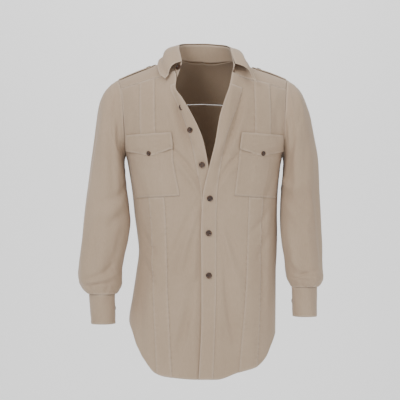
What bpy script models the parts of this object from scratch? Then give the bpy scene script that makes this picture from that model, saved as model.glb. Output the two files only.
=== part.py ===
"""A long-sleeved bush shirt, as worn, with nothing inside it.

Metres, +Z up. The front faces -Y and the wearer's right is on the -X side.
The origin is between the shoulders, at the height of the shoulder ridge.
The body is a stack of horizontal sections that closes over the shoulders,
and each cut piece is a grid of points on that form, given a thickness.
"""

import math

import bmesh
import bpy
import numpy as np
from mathutils import Vector

CLOTH = 0.0015
PATCH = 0.0010
GAP = 0.0003
# Degrees over the shoulder on each side of a yoke seam, which leave its gap.
SEAM_TURN = 0.12
LAY = 0.0006
RIGHT = -1
LEFT = 1

KHAKI = (0.47, 0.35, 0.24)
HORN = (0.10, 0.045, 0.02)

# Body sections: height, wearer's right and left half width, front and back depth.
SECTIONS = (
    (-0.830, 0.1960, 0.1840, 0.125, 0.124),
    (-0.656, 0.1945, 0.1860, 0.126, 0.127),
    (-0.600, 0.1860, 0.1865, 0.124, 0.125),
    (-0.530, 0.1755, 0.1870, 0.121, 0.119),
    (-0.480, 0.1695, 0.1895, 0.120, 0.115),
    (-0.430, 0.1745, 0.1905, 0.122, 0.113),
    (-0.390, 0.1800, 0.1900, 0.126, 0.113),
    (-0.340, 0.1850, 0.1910, 0.130, 0.115),
    (-0.280, 0.1935, 0.1960, 0.135, 0.120),
    (-0.235, 0.2025, 0.2035, 0.138, 0.124),
    (-0.200, 0.2190, 0.2200, 0.139, 0.127),
    (-0.136, 0.2360, 0.2370, 0.138, 0.128),
)
SQUARENESS = 2.4
CHEST = -0.136
ARMPIT = -0.235
CAP = 2.2

# Shoulder ridge seen from the front: distance from the middle, height on each side.
RIDGE = (
    (0.000, 0.036, 0.034),
    (0.050, 0.030, 0.026),
    (0.080, 0.019, 0.013),
    (0.114, 0.006, -0.001),
    (0.170, -0.016, -0.020),
    (0.2155, -0.034, -0.037),
    (0.2236, -0.037, -0.040),
)
TIP = -0.037
# Armhole edge: height, half width on each side.
ARMHOLE = (
    (-0.235, 0.2025, 0.2035),
    (-0.200, 0.2030, 0.2040),
    (-0.150, 0.2045, 0.2055),
    (-0.100, 0.2075, 0.2080),
    (-0.060, 0.2145, 0.2110),
    (-0.037, 0.2236, 0.2155),
)

# Lines down the two fronts: height, then how far from the middle each one lies.
# The columns of both fronts run along them, so pockets and pleats end on them.
RIGHT_LINES = (
    (-0.020, -0.074, -0.086, -0.102, -0.1250, -0.1630, -0.190),
    (-0.040, -0.069, -0.084, -0.101, -0.1248, -0.1630, -0.191),
    (-0.066, -0.071, -0.084, -0.099, -0.1245, -0.1630, -0.193),
    (-0.093, -0.054, -0.074, -0.096, -0.1240, -0.1630, -0.195),
    (-0.140, -0.027, -0.052, -0.089, -0.1235, -0.1625, -0.196),
    (-0.196, -0.003, -0.034, -0.081, -0.1205, -0.1600, -0.196),
    (-0.262, 0.011, -0.021, -0.075, -0.1145, -0.1540, -0.189),
    (-0.340, 0.024, -0.008, -0.061, -0.1000, -0.1405, -0.173),
    (-0.430, 0.027, -0.005, -0.055, -0.0955, -0.1340, -0.157),
    (-0.530, 0.027, -0.005, -0.053, -0.0935, -0.1320, -0.155),
    (-0.640, 0.025, -0.007, -0.050, -0.0885, -0.1270, -0.156),
    (-0.830, 0.022, -0.010, -0.045, -0.0790, -0.1190, -0.158),
)
LEFT_LINES = (
    (-0.020, 0.071, 0.099, 0.112, 0.1260, 0.1670, 0.190),
    (-0.065, 0.062, 0.096, 0.110, 0.1262, 0.1672, 0.193),
    (-0.097, 0.051, 0.090, 0.107, 0.1270, 0.1680, 0.196),
    (-0.140, 0.038, 0.072, 0.100, 0.1280, 0.1690, 0.198),
    (-0.200, 0.028, 0.052, 0.092, 0.1280, 0.1690, 0.199),
    (-0.262, 0.013, 0.042, 0.085, 0.1240, 0.1640, 0.195),
    (-0.340, -0.004, 0.033, 0.076, 0.1130, 0.1510, 0.183),
    (-0.430, -0.008, 0.031, 0.068, 0.1100, 0.1455, 0.169),
    (-0.530, -0.007, 0.031, 0.066, 0.1070, 0.1445, 0.167),
    (-0.640, -0.007, 0.029, 0.063, 0.0990, 0.1415, 0.163),
    (-0.830, -0.016, 0.022, 0.056, 0.0840, 0.1310, 0.157),
)
# Segments between those lines, from the front edge to the side seam.
COLUMN_STEPS = (2, 3, 2, 3, 2, 2)
EDGE_COLUMN = 0
BAND_COLUMN = 2
POCKET_IN_COLUMN = 5
STRIP_IN_COLUMN = 7
STRIP_OUT_COLUMN = 10
POCKET_OUT_COLUMN = 12

# Hem seen from the front: across, height of the front hem, height of the back hem.
HEM = (
    (-0.197, -0.656, -0.660),
    (-0.184, -0.686, -0.686),
    (-0.173, -0.718, -0.714),
    (-0.150, -0.757, -0.750),
    (-0.125, -0.786, -0.778),
    (-0.095, -0.795, -0.789),
    (-0.013, -0.801, -0.794),
    (0.030, -0.801, -0.794),
    (0.086, -0.784, -0.785),
    (0.131, -0.772, -0.768),
    (0.157, -0.750, -0.745),
    (0.173, -0.717, -0.715),
    (0.187, -0.686, -0.686),
)

# Rows around the armhole, each a step of 15 degrees from the shoulder tip.
LOOP_STEPS = 24
FRONT_SEAM_STEP = 3
CHEST_STEP = 6
ARMPIT_STEP = 12
BACK_SEAM_STEP = 19
# Front rows under the chest: height at the front edge and at the side.
CHEST_ROWS = (
    (-0.156, -0.1616),
    (-0.176, -0.1855),
    (-0.196, -0.2060),
    (-0.216, -0.2217),
    (-0.236, -0.2316),
    (-0.254, -0.2350),
    (-0.280, -0.2600),
    (-0.307, -0.3000),
    (-0.333, -0.3440),
)
POCKET_TOP_ROW = 5
POCKET_FOOT_ROW = 12
SKIRT_ROWS = 12

# Folds on the front: name, across and height at each end, half width, height.
FRONT_FOLDS = (
    ("right opening roll", -0.074, -0.085, -0.034, -0.215, 0.012, -0.007),
    ("right opening crest", -0.050, -0.085, -0.012, -0.225, 0.012, 0.006),
    ("left opening roll", 0.092, -0.070, 0.046, -0.240, 0.011, -0.006),
    ("left opening crest", 0.066, -0.070, 0.030, -0.250, 0.014, 0.007),
    ("drag to the button, right", -0.075, -0.245, -0.006, -0.335, 0.010, -0.005),
    ("drag crest, right", -0.070, -0.270, -0.012, -0.345, 0.012, 0.005),
    ("drag to the button, left", 0.085, -0.245, 0.030, -0.325, 0.010, -0.005),
    ("fan fold, right, inner", -0.012, -0.365, -0.055, -0.470, 0.012, 0.005),
    ("fan fold, right, outer", -0.016, -0.355, -0.095, -0.560, 0.014, -0.005),
    ("fan fold, left, inner", 0.036, -0.370, 0.075, -0.480, 0.012, 0.005),
    ("fan fold, left, outer", 0.040, -0.360, 0.095, -0.540, 0.014, -0.005),
    ("skirt fold, right", -0.026, -0.555, -0.066, -0.735, 0.014, -0.006),
    ("skirt crest, right", -0.050, -0.560, -0.088, -0.740, 0.016, 0.004),
    ("skirt fold, left", 0.052, -0.520, 0.078, -0.715, 0.014, -0.006),
    ("waist hollow, right", -0.150, -0.400, -0.152, -0.560, 0.014, -0.004),
    ("side crest, left", 0.166, -0.400, 0.160, -0.620, 0.014, 0.004),
)
# Folds on the back, which the photo doesn't show, in the same columns.
BACK_FOLDS = (
    ("blade fold, right", -0.110, -0.110, -0.080, -0.330, 0.016, 0.004),
    ("blade fold, left", 0.116, -0.110, 0.084, -0.320, 0.016, 0.004),
    ("small of the back, right", -0.090, -0.400, -0.020, -0.470, 0.016, -0.005),
    ("small of the back, left", 0.085, -0.410, 0.018, -0.500, 0.016, -0.005),
    ("back skirt, right", -0.062, -0.520, -0.086, -0.740, 0.016, 0.005),
    ("back skirt, middle", 0.004, -0.540, -0.006, -0.760, 0.018, -0.005),
    ("back skirt, left", 0.070, -0.520, 0.090, -0.730, 0.016, 0.005),
)

# Sleeve rings: outer edge across and height, inner edge across and height,
# middle and half depth front to back.
RIGHT_SLEEVE = (
    (0.2410, -0.0490, 0.2050, -0.242, -0.002, 0.081),
    (0.2585, -0.0690, 0.2060, -0.249, -0.004, 0.083),
    (0.2700, -0.0950, 0.2055, -0.259, -0.006, 0.083),
    (0.2775, -0.1300, 0.2040, -0.272, -0.008, 0.081),
    (0.2840, -0.1800, 0.2015, -0.292, -0.011, 0.078),
    (0.2915, -0.2400, 0.1985, -0.322, -0.015, 0.075),
    (0.3000, -0.3100, 0.1940, -0.362, -0.020, 0.072),
    (0.3090, -0.3800, 0.1900, -0.405, -0.026, 0.069),
    (0.3160, -0.4450, 0.1950, -0.450, -0.032, 0.067),
    (0.3225, -0.5000, 0.2050, -0.497, -0.038, 0.064),
    (0.3255, -0.5350, 0.2100, -0.532, -0.042, 0.061),
    (0.3220, -0.5600, 0.2100, -0.560, -0.045, 0.056),
    (0.3100, -0.5780, 0.2180, -0.578, -0.046, 0.049),
    (0.2965, -0.5885, 0.2265, -0.5885, -0.047, 0.043),
)
LEFT_SLEEVE = (
    (0.2320, -0.0480, 0.2055, -0.242, -0.002, 0.081),
    (0.2500, -0.0670, 0.2065, -0.249, -0.004, 0.083),
    (0.2640, -0.0960, 0.2065, -0.259, -0.006, 0.083),
    (0.2740, -0.1310, 0.2055, -0.272, -0.008, 0.081),
    (0.2815, -0.1800, 0.2035, -0.292, -0.011, 0.078),
    (0.2915, -0.2400, 0.2005, -0.322, -0.015, 0.075),
    (0.2950, -0.3100, 0.1975, -0.362, -0.020, 0.072),
    (0.2985, -0.3800, 0.1965, -0.405, -0.026, 0.069),
    (0.3005, -0.4400, 0.1990, -0.448, -0.032, 0.067),
    (0.3015, -0.4950, 0.2070, -0.495, -0.038, 0.064),
    (0.3025, -0.5280, 0.2100, -0.528, -0.042, 0.061),
    (0.3050, -0.5480, 0.2130, -0.548, -0.045, 0.056),
    (0.3010, -0.5610, 0.2190, -0.561, -0.046, 0.049),
    (0.2920, -0.5695, 0.2245, -0.5695, -0.047, 0.043),
)
SLEEVE_SQUARENESS = 2.15
# Sleeve folds: degrees round from the outside by way of the front, and rings
# along, at each end, then half width in degrees and height.
SLEEVE_FOLDS = (
    ("armhole drape, front", 40, 0.5, 78, 3.0, 14, -0.004),
    ("upper arm crest", 62, 1.5, 100, 5.0, 13, 0.004),
    ("inner elbow fold", 150, 6.0, 90, 7.2, 16, -0.005),
    ("elbow crest", 120, 7.2, 60, 8.4, 16, 0.004),
    ("forearm fold", 60, 8.6, 130, 10.2, 16, -0.005),
    ("blouse fold, front", 40, 11.0, 120, 11.0, 18, 0.004),
    ("outer fold", 340, 4.0, 350, 9.0, 16, -0.003),
    ("back drape", 300, 1.0, 265, 4.5, 15, -0.004),
    ("back elbow fold", 210, 6.5, 290, 7.5, 16, 0.004),
    ("back forearm fold", 300, 8.5, 230, 10.5, 16, -0.004),
)

# Cuffs: across from the outer to the inner edge at top and foot, heights.
CUFFS = {
    RIGHT: (0.2950, 0.2275, -0.5890, 0.2895, 0.2275, -0.6650),
    LEFT: (0.2900, 0.2235, -0.5700, 0.2892, 0.2275, -0.6460),
}
CUFF_MIDDLE = -0.047
CUFF_HALF_DEPTH = 0.042
CUFF_STEPS = 28
CUFF_LAP_STEPS = 3

# Collar stations from the wearer's right end round the back to the left end:
# foot of the stand, fold line at its top, and free edge of the leaf.
COLLAR = (
    (-0.0690, -0.040, -0.0560, -0.097, 0.003, -0.0970, -0.120, -0.043),
    (-0.0740, -0.024, -0.0600, -0.078, 0.022, -0.1110, -0.104, -0.030),
    (-0.0790, -0.010, -0.0640, -0.050, 0.040, -0.1175, -0.070, -0.008),
    (-0.0820, 0.019, -0.0640, -0.012, 0.052, -0.1130, -0.012, 0.015),
    (-0.0640, 0.028, -0.0560, 0.034, 0.060, -0.0930, 0.060, 0.009),
    (-0.0330, 0.030, -0.0320, 0.058, 0.063, -0.0500, 0.088, 0.006),
    (0.0000, 0.030, 0.0000, 0.066, 0.064, 0.0000, 0.097, 0.004),
    (0.0330, 0.028, 0.0330, 0.058, 0.061, 0.0500, 0.088, 0.004),
    (0.0640, 0.024, 0.0570, 0.034, 0.056, 0.0900, 0.060, 0.004),
    (0.0820, 0.013, 0.0680, -0.012, 0.045, 0.1040, -0.012, 0.011),
    (0.0800, -0.010, 0.0700, -0.050, 0.031, 0.1150, -0.070, -0.008),
    (0.0760, -0.020, 0.0740, -0.080, 0.013, 0.1230, -0.104, -0.030),
    (0.0700, -0.030, 0.0790, -0.101, -0.003, 0.1320, -0.124, -0.053),
)
COLLAR_STEPS = 30
STAND_ROWS = 3
LEAF_ROWS = 5

FRONT_BUTTON = 0.0155
POCKET_BUTTON = 0.013
BUTTON_THICK = 0.0026
BUTTON_SIDES = 14
ON_BAND = PATCH + GAP + LAY
ON_POCKET = PATCH + 3 * GAP
FLAP_LOOSE = 0.0008
ON_FLAP = ON_POCKET + PATCH + FLAP_LOOSE + GAP
# Buttons on the fronts: name, side of the panel, across, height, how far out, size.
FRONT_BUTTONS = (
    ("front_button_1", RIGHT, -0.0560, -0.112, ON_BAND, FRONT_BUTTON),
    ("front_button_2", RIGHT, -0.0330, -0.172, ON_BAND, FRONT_BUTTON),
    ("front_button_3", RIGHT, -0.0060, -0.257, ON_BAND, FRONT_BUTTON),
    ("front_button_4", LEFT, 0.0123, -0.3424, ON_BAND, FRONT_BUTTON),
    ("front_button_5", LEFT, 0.0123, -0.4354, ON_BAND, FRONT_BUTTON),
    ("front_button_6", LEFT, 0.0120, -0.5392, ON_BAND, FRONT_BUTTON),
    ("pocket_button_right", RIGHT, -0.1392, -0.2293, ON_FLAP, POCKET_BUTTON),
    ("pocket_button_left", LEFT, 0.1462, -0.2293, ON_FLAP, POCKET_BUTTON),
)
EPAULETTE_HALF = 0.022
EPAULETTE_INNER = 0.124
EPAULETTE_STEPS = 8


class Curve:
    """Smooth monotone curves through a table whose first column is the position."""

    def __init__(self, table):
        data = np.array(table, dtype=float)
        order = np.argsort(data[:, 0])
        self.at = data[order, 0]
        self.values = data[order, 1:]
        steps = np.diff(self.at)[:, None]
        slopes = np.diff(self.values, axis=0) / steps
        tangents = np.zeros_like(self.values)
        tangents[0] = slopes[0]
        tangents[-1] = slopes[-1]
        before, after = slopes[:-1], slopes[1:]
        same = before * after > 0
        total = np.where(same, before + after, 1.0)
        tangents[1:-1] = np.where(same, 2 * before * after / total, 0.0)
        self.tangents = tangents

    def __call__(self, position):
        """Return every column's value at one position."""
        place = min(max(position, self.at[0]), self.at[-1])
        low = int(np.searchsorted(self.at, place, side="right")) - 1
        low = min(max(low, 0), len(self.at) - 2)
        step = self.at[low + 1] - self.at[low]
        t = (place - self.at[low]) / step
        return (
            (1 + 2 * t) * (1 - t) ** 2 * self.values[low]
            + t * (1 - t) ** 2 * step * self.tangents[low]
            + t * t * (3 - 2 * t) * self.values[low + 1]
            + t * t * (t - 1) * step * self.tangents[low + 1]
        )


SECTION_CURVE = Curve(SECTIONS)
RIDGE_CURVE = Curve(RIDGE)
ARMHOLE_CURVE = Curve(ARMHOLE)
HEM_CURVE = Curve(HEM)
LINE_CURVES = {RIGHT: Curve(RIGHT_LINES), LEFT: Curve(LEFT_LINES)}


def half_width(side, height):
    """Give the body's half width on one side at a height under the chest."""
    return SECTION_CURVE(min(height, CHEST))[0 if side == RIGHT else 1]


def armhole(side, height):
    """Give the half width of the armhole's edge at a height."""
    return ARMHOLE_CURVE(height)[0 if side == RIGHT else 1]


def ridge(across):
    """Give the height of the shoulder ridge at a distance across."""
    return RIDGE_CURVE(abs(across))[0 if across < 0 else 1]


def slice_depth(across, height, face):
    """Give the depth of the flat section at a height, front (-1) or back (1)."""
    side = RIGHT if across < 0 else LEFT
    share = min(abs(across) / half_width(side, height), 1.0)
    deep = SECTION_CURVE(min(height, CHEST))[2 if face < 0 else 3]
    return deep * (1 - share**SQUARENESS) ** (1 / SQUARENESS)


def form(across, height, face):
    """Give the point of the plain body form seen at a place from the front or back."""
    if height <= CHEST:
        return np.array((across, face * slice_depth(across, height, face), height))
    share = min((height - CHEST) / (ridge(across) - CHEST), 1.0)
    depth = slice_depth(across, CHEST, face) * (1 - share**CAP) ** (1 / CAP)
    return np.array((across, face * depth, height))


def over(across, angle):
    """Give the point over the shoulder: 0 is the chest, 90 the ridge, 180 the back."""
    turn = math.radians(angle)
    face = -1 if angle <= 90 else 1
    depth = slice_depth(across, CHEST, face) * abs(math.cos(turn)) ** (2 / CAP)
    rise = (ridge(across) - CHEST) * math.sin(turn) ** (2 / CAP)
    return np.array((across, face * depth, CHEST + rise))


def angle_at(height, tip):
    """Give the angle over the shoulder whose height at the armhole is given."""
    share = (height - CHEST) / (tip - CHEST)
    return math.degrees(math.asin(min(max(share, 0.0), 1.0) ** (CAP / 2)))


def loop_height(step):
    """Give the height of one step around the armhole."""
    middle = (TIP + ARMPIT) / 2
    turn = 2 * math.pi * step / LOOP_STEPS
    return middle + (TIP - ARMPIT) / 2 * math.cos(turn)


def fold_height(folds, across, height):
    """Add up the folds of one table at a place seen from the front."""
    total = 0.0
    for _, x0, z0, x1, z1, width, lift in folds:
        length = math.hypot(x1 - x0, z1 - z0)
        along = ((across - x0) * (x1 - x0) + (height - z0) * (z1 - z0)) / length**2
        aside = ((across - x0) * (z1 - z0) - (height - z0) * (x1 - x0)) / length
        past = max(-along, along - 1, 0.0) * length
        total += lift * math.exp(-(aside**2 + past**2) / width**2)
    below = min(max((-0.265 - height) / 0.04, 0.0), 1.0)
    return total * (1 - 0.8 * below * math.exp(-(((across - 0.010) / 0.022) ** 4)))


def grid_normals(points, outward):
    """Work out unit normals of a grid, turned to the side that outward gives."""
    along = np.gradient(points, axis=0)
    across = np.gradient(points, axis=1)
    normals = np.cross(along, across)
    lengths = np.linalg.norm(normals, axis=2, keepdims=True)
    normals = normals / np.maximum(lengths, 1e-12)
    middle = normals[points.shape[0] // 2, points.shape[1] // 2]
    if np.dot(middle, outward) < 0:
        normals = -normals
    return normals


class Panel:
    """One cut piece: a grid of points on its outer face, with their normals."""

    def __init__(self, points, outward):
        self.points = np.array(points, dtype=float)
        self.normals = grid_normals(self.points, outward)

    def raised(self, heights):
        """Return the panel with each point moved out by its own height."""
        lifted = self.points + self.normals * np.array(heights)[:, :, None]
        return Panel(lifted, self.normals[lifted.shape[0] // 2, lifted.shape[1] // 2])

    def square_side(self, column, below):
        """Turn the normals down a side seam straight out, so its edge stays put."""
        for row in range(self.points.shape[0]):
            if self.points[row, column, 2] <= below:
                self.normals[row, column, 1] = 0.0
                self.normals[row, column] /= np.linalg.norm(self.normals[row, column])

    def crown(self, spot, normal, radius):
        """Give how far the panel rises above its tangent plane near a spot."""
        row, column = self.nearest(spot[0], spot[2])
        top = 0.0
        for r in np.arange(row - 1.5, row + 1.6, 0.25):
            for c in np.arange(column - 1.5, column + 1.6, 0.25):
                offset = self.at(r, c)[0] - spot
                rise = float(np.dot(offset, normal))
                if np.linalg.norm(offset - normal * rise) < radius * 1.1:
                    top = max(top, rise)
        return top

    def at(self, row, column):
        """Return the point and the normal between the grid's points."""
        r = min(max(row, 0.0), self.points.shape[0] - 1.0)
        c = min(max(column, 0.0), self.points.shape[1] - 1.0)
        r0 = min(int(r), self.points.shape[0] - 2)
        c0 = min(int(c), self.points.shape[1] - 2)
        weights = np.array(((1 - r + r0) * (1 - c + c0), (1 - r + r0) * (c - c0),
                            (r - r0) * (1 - c + c0), (r - r0) * (c - c0)))
        corners = ((r0, c0), (r0, c0 + 1), (r0 + 1, c0), (r0 + 1, c0 + 1))
        point = sum(w * self.points[i] for w, i in zip(weights, corners))
        normal = sum(w * self.normals[i] for w, i in zip(weights, corners))
        return point, normal / np.linalg.norm(normal)

    def overlay(self, rows, columns, lift, loose=0.0):
        """Return points and normals of a patch laid on the panel, moved out.

        The patch lies at lift along its top and stands off by loose more at its foot.
        """
        found = [[self.at(rows(r, c), columns(r, c)) for c in columns.steps]
                 for r in rows.steps]
        last = len(rows.steps) - 1
        points = np.array([[p + n * (lift + loose * k / last) for p, n in row]
                           for k, row in enumerate(found)])
        normals = np.array([[n for _, n in row] for row in found])
        return points, normals

    def nearest(self, across, height):
        """Find the row and column whose point is seen at a place from the front."""
        best = None
        for r in np.arange(0, self.points.shape[0] - 0.99, 0.25):
            for c in np.arange(0, self.points.shape[1] - 0.99, 0.25):
                point, _ = self.at(r, c)
                miss = (point[0] - across) ** 2 + (point[2] - height) ** 2
                if best is None or miss < best[0]:
                    best = (miss, r, c)
        return best[1], best[2]


class Steps:
    """Rows or columns of a patch, as panel positions that may vary."""

    def __init__(self, steps, place=None):
        self.steps = list(steps)
        self.place = place

    def __call__(self, row, column):
        """Return the panel position of this patch's row or column."""
        if self.place is None:
            return self.steps_value(row, column)
        return self.place(row, column)


class Rows(Steps):
    """Rows of a patch."""

    def steps_value(self, row, _column):
        """Return the row itself."""
        return row


class Columns(Steps):
    """Columns of a patch."""

    def steps_value(self, _row, column):
        """Return the column itself."""
        return column


def material(name, color, roughness):
    """Make one plain material."""
    made = bpy.data.materials.new(name)
    made.use_nodes = True
    made.diffuse_color = (*color, 1.0)
    shader = made.node_tree.nodes["Principled BSDF"]
    shader.inputs["Base Color"].default_value = (*color, 1.0)
    shader.inputs["Roughness"].default_value = roughness
    shader.inputs["Metallic"].default_value = 0.0
    return made


def closed_sheet(name, outer, inner, paint, round_about=False):
    """Make one closed solid from the outer and the inner grid of a piece of cloth."""
    rows, columns = outer.shape[:2]
    mesh = bmesh.new()
    faces = [[[mesh.verts.new(grid[r, c]) for c in range(columns)]
              for r in range(rows)] for grid in (outer, inner)]
    last = columns if round_about else columns - 1
    for r in range(rows - 1):
        for c in range(last):
            d = (c + 1) % columns
            for side in faces:
                mesh.faces.new((side[r][c], side[r][d], side[r + 1][d], side[r + 1][c]))
    for r in (0, rows - 1):
        for c in range(last):
            d = (c + 1) % columns
            mesh.faces.new((faces[0][r][c], faces[0][r][d], faces[1][r][d], faces[1][r][c]))
    if not round_about:
        for c in (0, columns - 1):
            for r in range(rows - 1):
                mesh.faces.new((faces[0][r][c], faces[0][r + 1][c],
                                faces[1][r + 1][c], faces[1][r][c]))
    bmesh.ops.recalc_face_normals(mesh, faces=mesh.faces)
    data = bpy.data.meshes.new(name)
    mesh.to_mesh(data)
    mesh.free()
    data.materials.append(paint)
    made = bpy.data.objects.new(name, data)
    bpy.context.scene.collection.objects.link(made)
    return made


def cloth(name, points, normals, thick, paint, round_about=False):
    """Give a grid of outer points its thickness, inwards."""
    return closed_sheet(name, points, points - normals * thick, paint, round_about)


def front_rows(side):
    """List the rows of a front, from the yoke seam down, as functions of x."""
    tip = ridge(side * armhole(side, TIP))
    rows = []
    for step in range(FRONT_SEAM_STEP, CHEST_STEP + 1):
        rows.append(("over", angle_at(loop_height(step), tip)))
    for inner, outer in CHEST_ROWS:
        rows.append(("height", inner, outer))
    for step in range(1, SKIRT_ROWS + 1):
        rows.append(("skirt", step / SKIRT_ROWS))
    return rows


def column_shares():
    """List for each column the line before it and its share of the way on."""
    shares = []
    for line, steps in enumerate(COLUMN_STEPS):
        shares += [(line, k / steps) for k in range(steps)]
    shares.append((len(COLUMN_STEPS), 0.0))
    return shares


def front_point(side, row, column, seam):
    """Work out one point of a front by its row and its column."""
    line, share = column
    lines = LINE_CURVES[side]
    across, height = side * 0.1, -0.1
    for _ in range(12):
        bounds = list(lines(height))
        if row[0] == "over" or height > ARMPIT:
            bounds.append(side * armhole(side, height))
        else:
            bounds.append(side * half_width(side, height))
        across = bounds[line]
        if share:
            across += (bounds[line + 1] - bounds[line]) * share
        reach = min(abs(across - bounds[0]) / abs(bounds[-1] - bounds[0]), 1.0)
        if row[0] == "over":
            angle = row[1] + (seam if row[1] == seam_angle(side) else 0.0)
            height = over(across, angle)[2]
        elif row[0] == "height":
            height = row[1] + (row[2] - row[1]) * reach
        else:
            top = CHEST_ROWS[-1][0] + (CHEST_ROWS[-1][1] - CHEST_ROWS[-1][0]) * reach
            height = top + (HEM_CURVE(across)[0] - top) * row[1]
    if row[0] == "over":
        return over(across, angle)
    point = form(across, height, -1)
    point[1] = min(point[1], -GAP)
    return point


def seam_angle(side):
    """Give the angle of the front yoke seam over the shoulder."""
    return angle_at(loop_height(FRONT_SEAM_STEP), ridge(side * armhole(side, TIP)))


def under_lap(across, height):
    """Give how far the right front lies behind the left one."""
    beyond = min(max((across + 0.024) / 0.016, 0.0), 1.0)
    below = min(max((-0.225 - height) / 0.045, 0.0), 1.0)
    return -0.0042 * beyond * beyond * (3 - 2 * beyond) * below * below * (3 - 2 * below)


def make_front(side):
    """Make the grid of one front, with its folds."""
    plain = Panel(
        [[front_point(side, row, column, -SEAM_TURN) for column in column_shares()]
         for row in front_rows(side)],
        (0.0, -1.0, 0.0),
    )
    heights = []
    for row in plain.points:
        line = []
        for x, _, z in row:
            lift = fold_height(FRONT_FOLDS, x, z)
            open_edge = LINE_CURVES[side](z)[0]
            if z > -0.27:
                near = math.exp(-((x - open_edge) / 0.022) ** 2)
                lift += 0.006 * near * min((z + 0.27) / 0.06, 1.0)
            calm = min(max((half_width(side, z) - abs(x)) / 0.03, 0.0), 1.0)
            line.append(lift * calm + (under_lap(x, z) if side == RIGHT else 0.0))
        heights.append(line)
    panel = plain.raised(heights)
    panel.square_side(-1, ARMPIT + 0.001)
    return panel


def make_back():
    """Make the grid of the back, under the yoke."""
    columns = 22
    tip = ridge(-armhole(RIGHT, TIP))
    seam = 180 - angle_at(loop_height(BACK_SEAM_STEP), tip)
    rows = [("over", seam + SEAM_TURN)]
    rows += [("height", loop_height(step)) for step in range(CHEST_STEP, ARMPIT_STEP + 1)]
    rows += [("skirt", step / 15) for step in range(1, 16)]
    points = []
    for row in rows:
        line = []
        for column in range(columns + 1):
            turn = -math.pi / 2 + math.pi * column / columns
            share = math.copysign(abs(math.sin(turn)) ** (2 / SQUARENESS), turn)
            share = 0.45 * share + 0.55 * (2 * column / columns - 1)
            across, height = 0.0, -0.3
            for _ in range(10):
                side = RIGHT if share < 0 else LEFT
                level = height if row[0] == "skirt" or height > ARMPIT else row[1]
                edge = armhole(side, level) if level > ARMPIT else half_width(side, level)
                across = share * edge
                if row[0] == "over":
                    height = over(across, row[1])[2]
                elif row[0] == "height":
                    height = row[1]
                else:
                    height = ARMPIT + (HEM_CURVE(across)[1] - ARMPIT) * row[1]
            point = over(across, row[1]) if row[0] == "over" else form(across, height, 1)
            point[1] = max(point[1], GAP)
            line.append(point)
        points.append(line)
    plain = Panel(points, (0.0, 1.0, 0.0))
    heights = [[fold_height(BACK_FOLDS, x, z)
                * min(max((half_width(RIGHT if x < 0 else LEFT, z) - abs(x)) / 0.03, 0.0), 1.0)
                for x, _, z in row] for row in plain.points]
    panel = plain.raised(heights)
    panel.square_side(0, ARMPIT + 0.001)
    panel.square_side(-1, ARMPIT + 0.001)
    return panel


def neck_angle(across):
    """Give the angle over the shoulder of the back of the neckline."""
    share = min(abs(across) / 0.082, 1.0)
    return 90 + 30 * (1 - share**2.4) ** (1 / 2.0)


def make_yoke():
    """Make the grid of the yoke: over both shoulders and behind the neck."""
    tips = {side: ridge(side * armhole(side, TIP)) for side in (RIGHT, LEFT)}
    back = 180 - angle_at(loop_height(BACK_SEAM_STEP), tips[RIGHT]) - SEAM_TURN
    rows = 8
    shoulder, behind = 7, 14
    stations = []
    for step in range(shoulder + 1):
        share = step / shoulder
        stations.append((RIGHT, "front", share))
    for step in range(1, behind):
        stations.append((None, "neck", step / behind))
    for step in range(shoulder, -1, -1):
        stations.append((LEFT, "front", step / shoulder))
    points = []
    for row in range(rows + 1):
        line = []
        for side, kind, share in stations:
            if kind == "front":
                first = seam_angle(side) + SEAM_TURN
                inner_x = side * (0.0775 if side == RIGHT else 0.0770)
                foot_x = side * 0.100
                end = first
            else:
                turn = math.pi * share
                reach = math.cos(turn)
                inner_x = -0.082 * math.copysign(abs(reach) ** 0.85, reach)
                foot_x = -0.100 * reach
                if abs(reach) > 0.90:
                    end = 90 - 40 * (abs(reach) - 0.90) / 0.10
                    inner_x = math.copysign(0.082 - 0.004 * (abs(reach) - 0.90) / 0.10, inner_x)
                else:
                    end = 90 + 31 * (1 - (abs(reach) / 0.90) ** 2) ** 0.5
            t = row / rows
            angle = back + (end - back) * t
            if kind == "front":
                across = side * 0.15
                for _ in range(8):
                    edge = side * armhole(side, over(across, angle)[2])
                    inner = foot_x + (inner_x - foot_x) * t
                    across = edge + (inner - edge) * share
            else:
                across = foot_x + (inner_x - foot_x) * t
            line.append(over(across, angle))
        points.append(line)
    return Panel(points, (0.0, 0.6, 0.8))


def armhole_loop(side):
    """List the points of the armhole's edge from the shoulder tip by the front."""
    tip = ridge(side * armhole(side, TIP))
    points = []
    for step in range(LOOP_STEPS):
        height = loop_height(step)
        face = -1 if step <= ARMPIT_STEP else 1
        across = side * armhole(side, height)
        if height > CHEST:
            angle = angle_at(height, tip)
            angle = angle if face < 0 else 180 - angle
            point = over(side * armhole(side, height), angle)
        else:
            point = form(across, height, face)
        points.append(point)
    return points


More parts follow.
